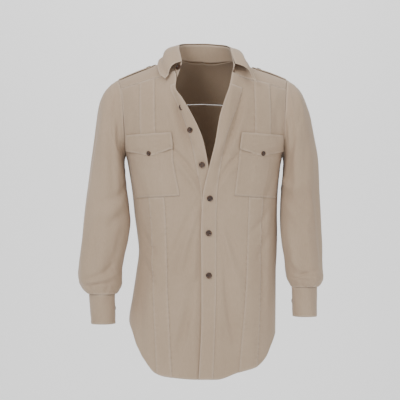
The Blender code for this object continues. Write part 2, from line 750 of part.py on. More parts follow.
def make_sleeve(side):
    """Make the grid of one sleeve, from the armhole to the cuff."""
    table = RIGHT_SLEEVE if side == RIGHT else LEFT_SLEEVE
    curve = Curve([(ring, *row) for ring, row in enumerate(table, 1)])
    start = np.array(armhole_loop(side))
    start[:, 0] += side * 2.4 * GAP
    rings = [start]
    stops = [1.0, 2.0, 3.0, 4.0, 5.0, 6.0, 7.0, 8.0, 9.0, 10.0, 10.6, 11.2, 12.0, 13.0, 14.0]
    for stop in stops:
        outer_x, outer_z, inner_x, inner_z, middle, deep = curve(stop)
        ring = []
        for step in range(LOOP_STEPS):
            turn = 2 * math.pi * step / LOOP_STEPS
            c = math.copysign(abs(math.cos(turn)) ** (2 / SLEEVE_SQUARENESS), math.cos(turn))
            s = math.copysign(abs(math.sin(turn)) ** (2 / SLEEVE_SQUARENESS), math.sin(turn))
            across = (outer_x + inner_x) / 2 + (outer_x - inner_x) / 2 * c
            height = (outer_z + inner_z) / 2 + (outer_z - inner_z) / 2 * c
            ring.append((side * across, middle - deep * s, height))
        rings.append(np.array(ring))
    points = np.array(rings)
    wide = np.concatenate((points[:, -1:], points, points[:, :1]), axis=1)
    normals = grid_normals(wide, (0.0, 1.0, 0.0))[:, 1:-1]
    if np.dot(normals[8, 6], (0.0, -1.0, 0.0)) < 0:
        normals = -normals
    heights = np.zeros(points.shape[:2])
    for r, stop in enumerate([0.0] + stops):
        for c in range(LOOP_STEPS):
            degrees = 360 * c / LOOP_STEPS
            for _, a0, r0, a1, r1, width, lift in SLEEVE_FOLDS:
                along = 0.5
                if abs(r1 - r0) > 0.01:
                    along = min(max((stop - r0) / (r1 - r0), 0.0), 1.0)
                    off = stop - (r0 + (r1 - r0) * along)
                    aside = degrees - (a0 + (a1 - a0) * along)
                else:
                    off = stop - r0
                    aside = max(a0 - degrees, degrees - a1, 0)
                aside = (aside + 180) % 360 - 180
                heights[r, c] += lift * math.exp(-((aside / width) ** 2) - (off / 0.8) ** 2)
    heights[0] = 0.0
    heights[-1] = 0.0
    heights[:7, 10:15] = np.minimum(heights[:7, 10:15], 0.0)
    points = points + normals * heights[:, :, None]
    flat = normals[0].copy()
    flat[:, 0] = 0.0
    normals[0] = flat / np.linalg.norm(flat, axis=1, keepdims=True)
    return points, normals


def make_cuff(side):
    """Make one cuff as a band whose ends lap, with the outer end on top."""
    outer_top, inner_top, top, outer_foot, inner_foot, foot = CUFFS[side]
    count = CUFF_STEPS + CUFF_LAP_STEPS
    points = []
    for level in (0.0, 0.33, 0.67, 1.0):
        outer = outer_top + (outer_foot - outer_top) * level
        inner = inner_top + (inner_foot - inner_top) * level
        height = top + (foot - top) * level
        line = []
        for step in range(count + 1):
            turn = math.radians(200) + 2 * math.pi * step / CUFF_STEPS
            drop = (CLOTH + 3 * GAP) * min(max((step - CUFF_STEPS + 4) / 4, 0.0), 1.0)
            half = (outer - inner) / 2 - drop
            deep = CUFF_HALF_DEPTH - drop
            c = math.cos(turn)
            s = math.sin(turn)
            line.append((side * ((outer + inner) / 2 + half * c), CUFF_MIDDLE - deep * s, height))
        points.append(line)
    panel = Panel(points, (0.0, 0.0, 1.0))
    centre = np.array((side * (outer_top + inner_top) / 2, CUFF_MIDDLE, 0.0))
    away = panel.points[1, 3] - centre
    if panel.normals[1, 3][0] * away[0] + panel.normals[1, 3][1] * away[1] < 0:
        panel.normals = -panel.normals
    return panel


def collar_station(share):
    """Read the collar's table at a share of the way round."""
    return COLLAR_CURVE(share * (len(COLLAR) - 1))


COLLAR_CURVE = Curve([(place, *row) for place, row in enumerate(COLLAR)])


def make_stand():
    """Make the grid of the collar stand, from its foot to the fold line."""
    feet = []
    for place, (across, height, *_) in enumerate(COLLAR):
        if height < -0.005:
            feet.append((place, across, angle_at(height, ridge(across))))
        else:
            feet.append((place, across, 90 + 31 * max(1 - (across / 0.082) ** 2, 0.0) ** 0.5))
    foot_curve = Curve(feet)
    points = []
    for level in range(STAND_ROWS + 1):
        line = []
        for step in range(COLLAR_STEPS + 1):
            place = step / COLLAR_STEPS * (len(COLLAR) - 1)
            foot = over(*foot_curve(place))
            top = collar_station(step / COLLAR_STEPS)[2:5]
            rise = (top - foot) / np.linalg.norm(top - foot)
            foot = foot + rise * 0.0030
            top = top - rise * 0.0024
            line.append(foot + (top - foot) * level / STAND_ROWS)
        points.append(line)
    return Panel(points, (0.0, 1.0, 0.0))


def make_leaf():
    """Make the grid of the collar leaf, which folds over the stand and falls."""
    points = []
    for level in range(LEAF_ROWS + 1):
        line = []
        for step in range(COLLAR_STEPS + 1):
            _, _, fx, fy, fz, ex, ey, ez = collar_station(step / COLLAR_STEPS)
            fold = np.array((fx, fy, fz))
            edge = np.array((ex, ey, ez))
            away = edge - fold
            away[2] = 0.0
            away = away / np.linalg.norm(away)
            share = level / LEAF_ROWS
            bulge = 0.010 * math.sin(math.pi * min(share * 1.25, 1.0))
            point = fold + (edge - fold) * share
            point = point + away * bulge + np.array((0.0, 0.0, 0.5 * bulge + 0.0016))
            if level:
                point = point + away * 0.002
            line.append(point)
        points.append(line)
    return Panel(points, (0.0, 0.5, 0.8))


def make_button(name, centre, normal, width, paint):
    """Make one button with a raised rim, its back face at the centre given."""
    radius = width / 2
    profile = (
        (radius * 0.90, 0.0),
        (radius, BUTTON_THICK * 0.45),
        (radius * 0.93, BUTTON_THICK),
        (radius * 0.72, BUTTON_THICK * 0.95),
        (radius * 0.62, BUTTON_THICK * 0.62),
    )
    mesh = bmesh.new()
    rings = []
    for reach, height in profile:
        ring = []
        for step in range(BUTTON_SIDES):
            turn = 2 * math.pi * step / BUTTON_SIDES
            ring.append(mesh.verts.new((reach * math.cos(turn), reach * math.sin(turn), height)))
        rings.append(ring)
    for low, high in zip(rings, rings[1:]):
        for step in range(BUTTON_SIDES):
            after = (step + 1) % BUTTON_SIDES
            mesh.faces.new((low[step], low[after], high[after], high[step]))
    mesh.faces.new(rings[0][::-1])
    mesh.faces.new(rings[-1])
    bmesh.ops.recalc_face_normals(mesh, faces=mesh.faces)
    data = bpy.data.meshes.new(name)
    mesh.to_mesh(data)
    mesh.free()
    data.materials.append(paint)
    made = bpy.data.objects.new(name, data)
    made.location = Vector(centre)
    made.rotation_mode = "QUATERNION"
    made.rotation_quaternion = Vector((0.0, 0.0, 1.0)).rotation_difference(Vector(normal))
    bpy.context.scene.collection.objects.link(made)
    return made


def make_flap(panel, paint, name):
    """Make one pocket flap with its point at the middle of its lower edge."""
    first, last = POCKET_IN_COLUMN, POCKET_OUT_COLUMN
    middle = (STRIP_IN_COLUMN + STRIP_OUT_COLUMN) / 2

    def lower(column):
        """Give the row of the flap's lower edge."""
        if column <= middle:
            share = (column - first) / (middle - first)
        else:
            share = (last - column) / (last - middle)
        return POCKET_TOP_ROW + 1.95 + 1.45 * share

    rows = Rows(range(6))
    rows.place = lambda row, column: (
        POCKET_TOP_ROW + 0.05 + (lower(column) - POCKET_TOP_ROW) * row / 5)
    columns = Columns(range(first, last + 1))
    points, normals = panel.overlay(rows, columns, ON_POCKET + PATCH, FLAP_LOOSE)
    return cloth(name, points, normals, PATCH, paint)


def make_epaulette(side, paint, name):
    """Make one shoulder strap along the ridge, with a pointed inner end."""
    tip = armhole(side, TIP) - 0.003
    points = []
    for step in range(EPAULETTE_STEPS + 1):
        share = step / EPAULETTE_STEPS
        line = []
        for place in (-1.0, -0.5, 0.0, 0.5, 1.0):
            point_in = EPAULETTE_INNER + 0.010 * abs(place)
            across = side * (tip + (point_in - tip) * share)
            angle = 90 + place * 14.5
            line.append(over(across, angle))
        points.append(line)
    panel = Panel(points, (0.0, 0.0, 1.0))
    lift = LAY + PATCH
    outer = panel.points + panel.normals * lift
    made = cloth(name, outer, panel.normals, PATCH, paint)
    spot, normal = panel.at(EPAULETTE_STEPS * 0.80, 2)
    return made, spot + normal * (lift + LAY), normal


def main():
    """Build every piece of the shirt."""
    for item in list(bpy.data.objects):
        bpy.data.objects.remove(item, do_unlink=True)
    khaki = material("khaki_cotton", KHAKI, 0.92)
    horn = material("brown_button", HORN, 0.45)

    fronts = {side: make_front(side) for side in (RIGHT, LEFT)}
    names = {RIGHT: "right", LEFT: "left"}
    for side, panel in fronts.items():
        word = names[side]
        cloth(f"front_{word}", panel.points, panel.normals, CLOTH, khaki)
        last = panel.points.shape[0] - 1
        bands = {RIGHT: "button_stand", LEFT: "placket"}
        patches = (
            (bands[side], 1, last, EDGE_COLUMN, BAND_COLUMN),
            (f"chest_strip_{word}", 0, POCKET_TOP_ROW, STRIP_IN_COLUMN, STRIP_OUT_COLUMN),
            (f"pocket_{word}", POCKET_TOP_ROW, POCKET_FOOT_ROW, POCKET_IN_COLUMN,
             POCKET_OUT_COLUMN),
            (f"body_strip_{word}", POCKET_FOOT_ROW, last, STRIP_IN_COLUMN, STRIP_OUT_COLUMN),
        )
        for name, top, foot, first, end in patches:
            rows = Rows(range(top, foot + 1))
            if "chest_strip" in name:
                rows.place = lambda row, column: row - (0.06 if row == POCKET_TOP_ROW else -0.0)
            if "body_strip" in name:
                rows.place = lambda row, column: row + (0.06 if row == POCKET_FOOT_ROW else 0.0)
            points, normals = panel.overlay(rows, Columns(range(first, end + 1)), PATCH + GAP)
            cloth(name, points, normals, PATCH, khaki)
        make_flap(panel, khaki, f"pocket_flap_{word}")

    back = make_back()
    cloth("back", back.points, back.normals, CLOTH, khaki)
    yoke = make_yoke()
    cloth("yoke", yoke.points, yoke.normals, CLOTH, khaki)

    for side in (RIGHT, LEFT):
        word = names[side]
        points, normals = make_sleeve(side)
        cloth(f"sleeve_{word}", points, normals, CLOTH, khaki, round_about=True)
        cuff = make_cuff(side)
        cloth(f"cuff_{word}", cuff.points, cuff.normals, CLOTH, khaki)
        spot, normal = cuff.at(1.5, 1.0)
        make_button(f"cuff_button_{word}", spot + normal * LAY, normal, POCKET_BUTTON, horn)
        _, spot, normal = make_epaulette(side, khaki, f"epaulette_{word}")
        make_button(f"epaulette_button_{word}", spot, normal, POCKET_BUTTON, horn)

    stand = make_stand()
    cloth("collar_stand", stand.points, stand.normals, CLOTH, khaki)
    leaf = make_leaf()
    cloth("collar_leaf", leaf.points, leaf.normals, CLOTH, khaki)
    spot, normal = stand.at(1.5, 0.9)
    make_button("collar_button", spot + normal * LAY, normal, FRONT_BUTTON, horn)

    for name, side, across, height, lift, width in FRONT_BUTTONS:
        panel = fronts[side]
        row, column = panel.nearest(across, height)
        spot, normal = panel.at(row, column)
        clear = lift + 1.3 * panel.crown(spot, normal, width / 2)
        make_button(name, spot + normal * clear, normal, width, horn)


main()
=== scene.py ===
"""Dresses the hollow bush shirt: thin cloth with its folds, seams, stitches and buttons.

The cloth follows the same body form as the solids, in metres, with the front
towards -Y. Each cut piece is a fine grid on that form, moved out by its folds,
and each patch sewn on it is part of the same grid, moved out by its layers.
"""

import logging
import math
from collections.abc import Callable, Sequence
from dataclasses import dataclass, field
from enum import Enum

import bmesh
import bpy
import numpy as np
from mathutils import Matrix, Vector, noise


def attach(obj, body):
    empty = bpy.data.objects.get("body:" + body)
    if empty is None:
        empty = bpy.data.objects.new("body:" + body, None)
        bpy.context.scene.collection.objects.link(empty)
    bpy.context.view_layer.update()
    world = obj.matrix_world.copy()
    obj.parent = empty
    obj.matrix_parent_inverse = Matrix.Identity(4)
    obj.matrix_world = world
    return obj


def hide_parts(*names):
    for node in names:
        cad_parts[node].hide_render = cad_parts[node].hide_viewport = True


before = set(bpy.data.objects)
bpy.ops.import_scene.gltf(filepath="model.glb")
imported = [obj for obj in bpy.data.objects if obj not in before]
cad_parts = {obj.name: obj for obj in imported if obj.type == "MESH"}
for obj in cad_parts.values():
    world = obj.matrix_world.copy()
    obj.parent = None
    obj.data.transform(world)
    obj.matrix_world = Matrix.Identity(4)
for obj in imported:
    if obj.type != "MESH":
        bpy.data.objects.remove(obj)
LOG = logging.getLogger("shirt")

THIN = 0.0007
SEAM_TURN = 0.12
PLY = 0.0011
CHEST = -0.136
ARMPIT = -0.235
CAP = 2.2
SQUARENESS = 2.4
TIP = -0.037
SLEEVE_SQUARENESS = 2.15
LOOP_STEPS = 24

# Body sections: height, wearer's right and left half width, front and back depth.
SECTIONS = (
    (-0.830, 0.1960, 0.1840, 0.125, 0.124),
    (-0.656, 0.1945, 0.1860, 0.126, 0.127),
    (-0.600, 0.1860, 0.1865, 0.124, 0.125),
    (-0.530, 0.1755, 0.1870, 0.121, 0.119),
    (-0.480, 0.1695, 0.1895, 0.120, 0.115),
    (-0.430, 0.1745, 0.1905, 0.122, 0.113),
    (-0.390, 0.1800, 0.1900, 0.126, 0.113),
    (-0.340, 0.1850, 0.1910, 0.130, 0.115),
    (-0.280, 0.1935, 0.1960, 0.135, 0.120),
    (-0.235, 0.2025, 0.2035, 0.138, 0.124),
    (-0.200, 0.2190, 0.2200, 0.139, 0.127),
    (-0.136, 0.2360, 0.2370, 0.138, 0.128),
)
# Shoulder ridge: distance from the middle, height on each side.
RIDGE = (
    (0.000, 0.036, 0.034),
    (0.050, 0.030, 0.026),
    (0.080, 0.019, 0.013),
    (0.114, 0.006, -0.001),
    (0.170, -0.016, -0.020),
    (0.2155, -0.034, -0.037),
    (0.2236, -0.037, -0.040),
)
# Armhole edge: height, half width on each side.
ARMHOLE = (
    (-0.235, 0.2025, 0.2035),
    (-0.200, 0.2030, 0.2040),
    (-0.150, 0.2045, 0.2055),
    (-0.100, 0.2075, 0.2080),
    (-0.060, 0.2145, 0.2110),
    (-0.037, 0.2236, 0.2155),
)
# Lines down the fronts: height, then how far from the middle each one lies.
RIGHT_LINES = (
    (-0.020, -0.074, -0.086, -0.102, -0.1250, -0.1630, -0.190),
    (-0.040, -0.069, -0.084, -0.101, -0.1248, -0.1630, -0.191),
    (-0.066, -0.071, -0.084, -0.099, -0.1245, -0.1630, -0.193),
    (-0.093, -0.054, -0.074, -0.096, -0.1240, -0.1630, -0.195),
    (-0.140, -0.027, -0.052, -0.089, -0.1235, -0.1625, -0.196),
    (-0.196, -0.003, -0.034, -0.081, -0.1205, -0.1600, -0.196),
    (-0.262, 0.011, -0.021, -0.075, -0.1145, -0.1540, -0.189),
    (-0.340, 0.024, -0.008, -0.061, -0.1000, -0.1405, -0.173),
    (-0.430, 0.027, -0.005, -0.055, -0.0955, -0.1340, -0.157),
    (-0.530, 0.027, -0.005, -0.053, -0.0935, -0.1320, -0.155),
    (-0.640, 0.025, -0.007, -0.050, -0.0885, -0.1270, -0.156),
    (-0.830, 0.022, -0.010, -0.045, -0.0790, -0.1190, -0.158),
)
LEFT_LINES = (
    (-0.020, 0.071, 0.099, 0.112, 0.1260, 0.1670, 0.190),
    (-0.065, 0.062, 0.096, 0.110, 0.1262, 0.1672, 0.193),
    (-0.097, 0.051, 0.090, 0.107, 0.1270, 0.1680, 0.196),
    (-0.140, 0.038, 0.072, 0.100, 0.1280, 0.1690, 0.198),
    (-0.200, 0.028, 0.052, 0.092, 0.1280, 0.1690, 0.199),
    (-0.262, 0.013, 0.042, 0.085, 0.1240, 0.1640, 0.195),
    (-0.340, -0.004, 0.033, 0.076, 0.1130, 0.1510, 0.183),
    (-0.430, -0.008, 0.031, 0.068, 0.1100, 0.1455, 0.169),
    (-0.530, -0.007, 0.031, 0.066, 0.1070, 0.1445, 0.167),
    (-0.640, -0.007, 0.029, 0.063, 0.0990, 0.1415, 0.163),
    (-0.830, -0.016, 0.022, 0.056, 0.0840, 0.1310, 0.157),
)
# Columns of the solid between those lines, and where its patches end.
COLUMN_STEPS = (2, 3, 2, 3, 2, 2)
EDGE_COLUMN = 0
BAND_COLUMN = 2
POCKET_IN_COLUMN = 5
STRIP_IN_COLUMN = 7
STRIP_OUT_COLUMN = 10
POCKET_OUT_COLUMN = 12
# Hem: across, height of the front hem, height of the back hem.
HEM = (
    (-0.197, -0.656, -0.660),
    (-0.184, -0.686, -0.686),
    (-0.173, -0.718, -0.714),
    (-0.150, -0.757, -0.750),
    (-0.125, -0.786, -0.778),
    (-0.095, -0.795, -0.789),
    (-0.013, -0.801, -0.794),
    (0.030, -0.801, -0.794),
    (0.086, -0.784, -0.785),
    (0.131, -0.772, -0.768),
    (0.157, -0.750, -0.745),
    (0.173, -0.717, -0.715),
    (0.187, -0.686, -0.686),
)
# Steps round the armhole where seams and rows start.
FRONT_SEAM_STEP = 3
CHEST_STEP = 6
ARMPIT_STEP = 12
BACK_SEAM_STEP = 19
# Front rows under the chest: height at the front edge and at the side.
CHEST_ROWS = (
    (-0.156, -0.1616),
    (-0.176, -0.1855),
    (-0.196, -0.2060),
    (-0.216, -0.2217),
    (-0.236, -0.2316),
    (-0.254, -0.2350),
    (-0.280, -0.2600),
    (-0.307, -0.3000),
    (-0.333, -0.3440),
)
POCKET_TOP_ROW = 5
POCKET_FOOT_ROW = 12
SKIRT_ROWS = 12
# Sleeve rings: outer edge across and height, inner edge, middle and half depth.
RIGHT_SLEEVE = (
    (0.2410, -0.0490, 0.2050, -0.242, -0.002, 0.081),
    (0.2585, -0.0690, 0.2060, -0.249, -0.004, 0.083),
    (0.2700, -0.0950, 0.2055, -0.259, -0.006, 0.083),
    (0.2775, -0.1300, 0.2040, -0.272, -0.008, 0.081),
    (0.2840, -0.1800, 0.2015, -0.292, -0.011, 0.078),
    (0.2915, -0.2400, 0.1985, -0.322, -0.015, 0.075),
    (0.3000, -0.3100, 0.1940, -0.362, -0.020, 0.072),
    (0.3090, -0.3800, 0.1900, -0.405, -0.026, 0.069),
    (0.3160, -0.4450, 0.1950, -0.450, -0.032, 0.067),
    (0.3225, -0.5000, 0.2050, -0.497, -0.038, 0.064),
    (0.3255, -0.5350, 0.2100, -0.532, -0.042, 0.061),
    (0.3220, -0.5600, 0.2100, -0.560, -0.045, 0.056),
    (0.3100, -0.5780, 0.2180, -0.578, -0.046, 0.049),
    (0.2965, -0.5885, 0.2265, -0.5885, -0.047, 0.043),
)
LEFT_SLEEVE = (
    (0.2320, -0.0480, 0.2055, -0.242, -0.002, 0.081),
    (0.2500, -0.0670, 0.2065, -0.249, -0.004, 0.083),
    (0.2640, -0.0960, 0.2065, -0.259, -0.006, 0.083),
    (0.2740, -0.1310, 0.2055, -0.272, -0.008, 0.081),
    (0.2815, -0.1800, 0.2035, -0.292, -0.011, 0.078),
    (0.2915, -0.2400, 0.2005, -0.322, -0.015, 0.075),
    (0.2950, -0.3100, 0.1975, -0.362, -0.020, 0.072),
    (0.2985, -0.3800, 0.1965, -0.405, -0.026, 0.069),
    (0.3005, -0.4400, 0.1990, -0.448, -0.032, 0.067),
    (0.3015, -0.4950, 0.2070, -0.495, -0.038, 0.064),
    (0.3025, -0.5280, 0.2100, -0.528, -0.042, 0.061),
    (0.3050, -0.5480, 0.2130, -0.548, -0.045, 0.056),
    (0.3010, -0.5610, 0.2190, -0.561, -0.046, 0.049),
    (0.2920, -0.5695, 0.2245, -0.5695, -0.047, 0.043),
)
# Cuffs: across from the outer to the inner edge at top and foot, with heights.
CUFFS = {
    -1: (0.2950, 0.2275, -0.5890, 0.2895, 0.2275, -0.6650),
    1: (0.2900, 0.2235, -0.5700, 0.2892, 0.2275, -0.6460),
}
CUFF_MIDDLE = -0.047
CUFF_HALF_DEPTH = 0.042
CUFF_STEPS = 28
CUFF_LAP_STEPS = 3
# Collar stations round the neck: foot of the stand, fold line, free edge.
COLLAR = (
    (-0.0690, -0.040, -0.0560, -0.097, 0.003, -0.0970, -0.120, -0.043),
    (-0.0740, -0.024, -0.0600, -0.078, 0.022, -0.1110, -0.104, -0.030),
    (-0.0790, -0.010, -0.0640, -0.050, 0.040, -0.1175, -0.070, -0.008),
    (-0.0820, 0.019, -0.0640, -0.012, 0.052, -0.1130, -0.012, 0.015),
    (-0.0640, 0.028, -0.0560, 0.034, 0.060, -0.0930, 0.060, 0.009),
    (-0.0330, 0.030, -0.0320, 0.058, 0.063, -0.0500, 0.088, 0.006),
    (0.0000, 0.030, 0.0000, 0.066, 0.064, 0.0000, 0.097, 0.004),
    (0.0330, 0.028, 0.0330, 0.058, 0.061, 0.0500, 0.088, 0.004),
    (0.0640, 0.024, 0.0570, 0.034, 0.056, 0.0900, 0.060, 0.004),
    (0.0820, 0.013, 0.0680, -0.012, 0.045, 0.1040, -0.012, 0.011),
    (0.0800, -0.010, 0.0700, -0.050, 0.031, 0.1150, -0.070, -0.008),
    (0.0760, -0.020, 0.0740, -0.080, 0.013, 0.1230, -0.104, -0.030),
    (0.0700, -0.030, 0.0790, -0.101, -0.003, 0.1320, -0.124, -0.053),
)
EPAULETTE_INNER = 0.124


class Side(Enum):
    """The wearer's two sides, with the sign of X on each."""

    RIGHT = -1
    LEFT = 1

    @property
    def word(self) -> str:
        """Name the side as the solids do."""
        return self.name.lower()


class Held(Enum):
    """How a sheet of cloth is held."""

    HUNG = "hung"
    GATHERED = "gathered"
    FOLDED = "folded"


class Curve:
    """Smooth monotone curves through a table whose first column is the position."""

    def __init__(self, table: Sequence[Sequence[float]]) -> None:
        """Work out the slopes at the table's rows.

        Args:
            table: rows of a position and the values there.
        """
        data = np.array(table, dtype=float)
        data = data[np.argsort(data[:, 0])]
        self.at = data[:, 0]
        self.values = data[:, 1:]
        slopes = np.diff(self.values, axis=0) / np.diff(self.at)[:, None]
        tangents = np.zeros_like(self.values)
        tangents[0], tangents[-1] = slopes[0], slopes[-1]
        before, after = slopes[:-1], slopes[1:]
        same = before * after > 0
        tangents[1:-1] = np.where(same, 2 * before * after / np.where(same, before + after, 1.0), 0.0)
        self.tangents = tangents

    def __call__(self, position: np.ndarray | float) -> np.ndarray:
        """Read every column at each position.

        Args:
            position: one position or an array of them.

        Returns:
            The values, with the table's columns as the last axis.
        """
        place = np.clip(np.asarray(position, dtype=float), self.at[0], self.at[-1])
        low = np.clip(np.searchsorted(self.at, place, side="right") - 1, 0, len(self.at) - 2)
        step = (self.at[low + 1] - self.at[low])[..., None]
        t = (place - self.at[low])[..., None] / step
        return ((1 + 2 * t) * (1 - t) ** 2 * self.values[low]
                + t * (1 - t) ** 2 * step * self.tangents[low]
                + t * t * (3 - 2 * t) * self.values[low + 1]
                + t * t * (t - 1) * step * self.tangents[low + 1])


@dataclass(frozen=True)
class Fold:
    """A soft trough or ridge between two places on a piece of cloth.

    Places are across and height seen from the front, in metres, or degrees
    round and rings along on a sleeve. Bow bends it sideways at its middle, and
    lean makes one of its flanks steeper than the other.
    """

    x0: float
    z0: float
    x1: float
    z1: float
    width: float
    lift: float
    bow: float = 0.0
    lean: float = 0.0

    def heights(self, x: np.ndarray, z: np.ndarray, stretch: float = 1.0) -> np.ndarray:
        """Give this fold's height at each place.

        Args:
            x: places across.
            z: places up, or rings along.
            stretch: how much one unit of z counts against one of x.

        Returns:
            The height to add, in metres.
        """
        dx, dz = self.x1 - self.x0, (self.z1 - self.z0) * stretch
        length = math.hypot(dx, dz)
        px, pz = x - self.x0, (z - self.z0) * stretch
        along = (px * dx + pz * dz) / length**2
        aside = (px * dz - pz * dx) / length
        aside = aside - self.bow * 4 * np.clip(along, 0, 1) * (1 - np.clip(along, 0, 1))
        past = np.maximum(np.maximum(-along, along - 1), 0.0) * length
        body = np.clip(along, 0, 1)
        swell = 0.55 + 0.45 * np.sin(np.pi * np.clip(body * 0.9 + 0.05, 0, 1))
        wide = self.width * np.where(aside > 0, 1 + self.lean, 1 - self.lean)
        return self.lift * swell * np.exp(-((aside / wide) ** 2) - (past / (1.6 * self.width)) ** 2)


# Folds on each front, seen from the front: the opening's rolls, the drags to the
# buttons, the fans below them and the long folds of the skirt.
RIGHT_FOLDS = (
    Fold(-0.0735, -0.086, -0.0340, -0.205, 0.0085, -0.0075, 0.002, 0.3),
    Fold(-0.0560, -0.080, -0.0150, -0.222, 0.0120, 0.0055, 0.003),
    Fold(-0.0930, -0.100, -0.0480, -0.232, 0.0100, 0.0035, 0.002),
    Fold(-0.0870, -0.214, -0.0030, -0.322, 0.0080, -0.0055, -0.006, 0.3),
    Fold(-0.0800, -0.238, -0.0080, -0.340, 0.0090, 0.0045, -0.005),
    Fold(-0.0600, -0.282, -0.0140, -0.350, 0.0060, -0.0025, -0.003),
    Fold(-0.0180, -0.360, -0.1050, -0.556, 0.0110, -0.0050, 0.006, -0.2),
    Fold(-0.0140, -0.372, -0.0720, -0.560, 0.0110, 0.0045, 0.004),
    Fold(-0.0130, -0.385, -0.0430, -0.520, 0.0080, -0.0040, 0.003),
    Fold(-0.0130, -0.440, -0.0150, -0.600, 0.0070, -0.0030),
    Fold(-0.0240, -0.560, -0.0650, -0.735, 0.0105, -0.0065, -0.004, 0.35),
    Fold(-0.0480, -0.550, -0.0880, -0.742, 0.0140, 0.0045, -0.004),
    Fold(-0.0330, -0.600, -0.0300, -0.780, 0.0100, 0.0030),
    Fold(-0.1500, -0.395, -0.1520, -0.560, 0.0130, -0.0045, 0.004),
    Fold(-0.1620, -0.420, -0.1300, -0.475, 0.0070, -0.0030, 0.003),
    Fold(-0.1660, -0.470, -0.1300, -0.510, 0.0070, 0.0028, 0.002),
    Fold(-0.1640, -0.500, -0.1180, -0.575, 0.0080, -0.0028, -0.004),
    Fold(-0.1800, -0.262, -0.1500, -0.330, 0.0080, -0.0028, 0.003),
    Fold(-0.1870, -0.280, -0.1600, -0.390, 0.0100, 0.0028, 0.004),
    Fold(-0.1500, -0.668, -0.1080, -0.666, 0.0022, -0.0008),
    Fold(-0.0860, -0.668, -0.0450, -0.667, 0.0020, -0.0006),
    Fold(-0.1400, -0.600, -0.1380, -0.730, 0.0120, 0.0026, 0.004),
    Fold(-0.1620, -0.590, -0.1600, -0.720, 0.0110, -0.0026),
    Fold(-0.1750, -0.110, -0.1830, -0.190, 0.0090, -0.0028, 0.003),
    Fold(-0.1800, -0.075, -0.1720, -0.140, 0.0070, 0.0018),
)
LEFT_FOLDS = (
    Fold(0.0935, -0.090, 0.0490, -0.226, 0.0085, -0.0070, -0.003, -0.3),
    Fold(0.0690, -0.078, 0.0330, -0.245, 0.0130, 0.0065, -0.003),
    Fold(0.0480, -0.228, 0.0230, -0.312, 0.0070, -0.0040, -0.002),
    Fold(0.1080, -0.110, 0.0600, -0.240, 0.0095, 0.0030, -0.002),
    Fold(0.0920, -0.228, 0.0250, -0.324, 0.0080, -0.0050, 0.005, -0.3),
    Fold(0.0860, -0.250, 0.0290, -0.336, 0.0085, 0.0042, 0.004),
    Fold(0.0560, -0.290, 0.0280, -0.340, 0.0060, -0.0022),
    Fold(0.0270, -0.374, 0.0980, -0.530, 0.0105, -0.0048, -0.005, 0.2),
    Fold(0.0290, -0.368, 0.0760, -0.530, 0.0100, 0.0040, -0.003),
    Fold(0.0280, -0.390, 0.0530, -0.500, 0.0075, -0.0032, -0.002),
    Fold(0.0540, -0.525, 0.0760, -0.700, 0.0120, -0.0065, 0.004, -0.3),
    Fold(0.0880, -0.530, 0.1040, -0.705, 0.0130, 0.0042, 0.003),
    Fold(0.0270, -0.600, 0.0240, -0.780, 0.0080, -0.0030, 0.002),
    Fold(0.0410, -0.560, 0.0400, -0.760, 0.0100, 0.0026, 0.002),
    Fold(0.1660, -0.400, 0.1600, -0.620, 0.0130, 0.0040, -0.004),
    Fold(0.1640, -0.372, 0.1200, -0.430, 0.0075, -0.0030, -0.003),
    Fold(0.1720, -0.430, 0.1350, -0.500, 0.0080, -0.0026, 0.003),
    Fold(0.1500, -0.500, 0.1480, -0.640, 0.0110, -0.0032, -0.003),
    Fold(0.1820, -0.265, 0.1560, -0.340, 0.0080, -0.0030, -0.003),
    Fold(0.1780, -0.300, 0.1640, -0.390, 0.0100, 0.0026, -0.003),
    Fold(0.0450, -0.670, 0.0900, -0.671, 0.0022, -0.0008),
    Fold(0.1180, -0.600, 0.1240, -0.740, 0.0110, 0.0026, 0.003),
    Fold(0.1780, -0.112, 0.1850, -0.190, 0.0090, -0.0030, -0.003),
    Fold(0.1820, -0.078, 0.1760, -0.140, 0.0070, 0.0018),
)
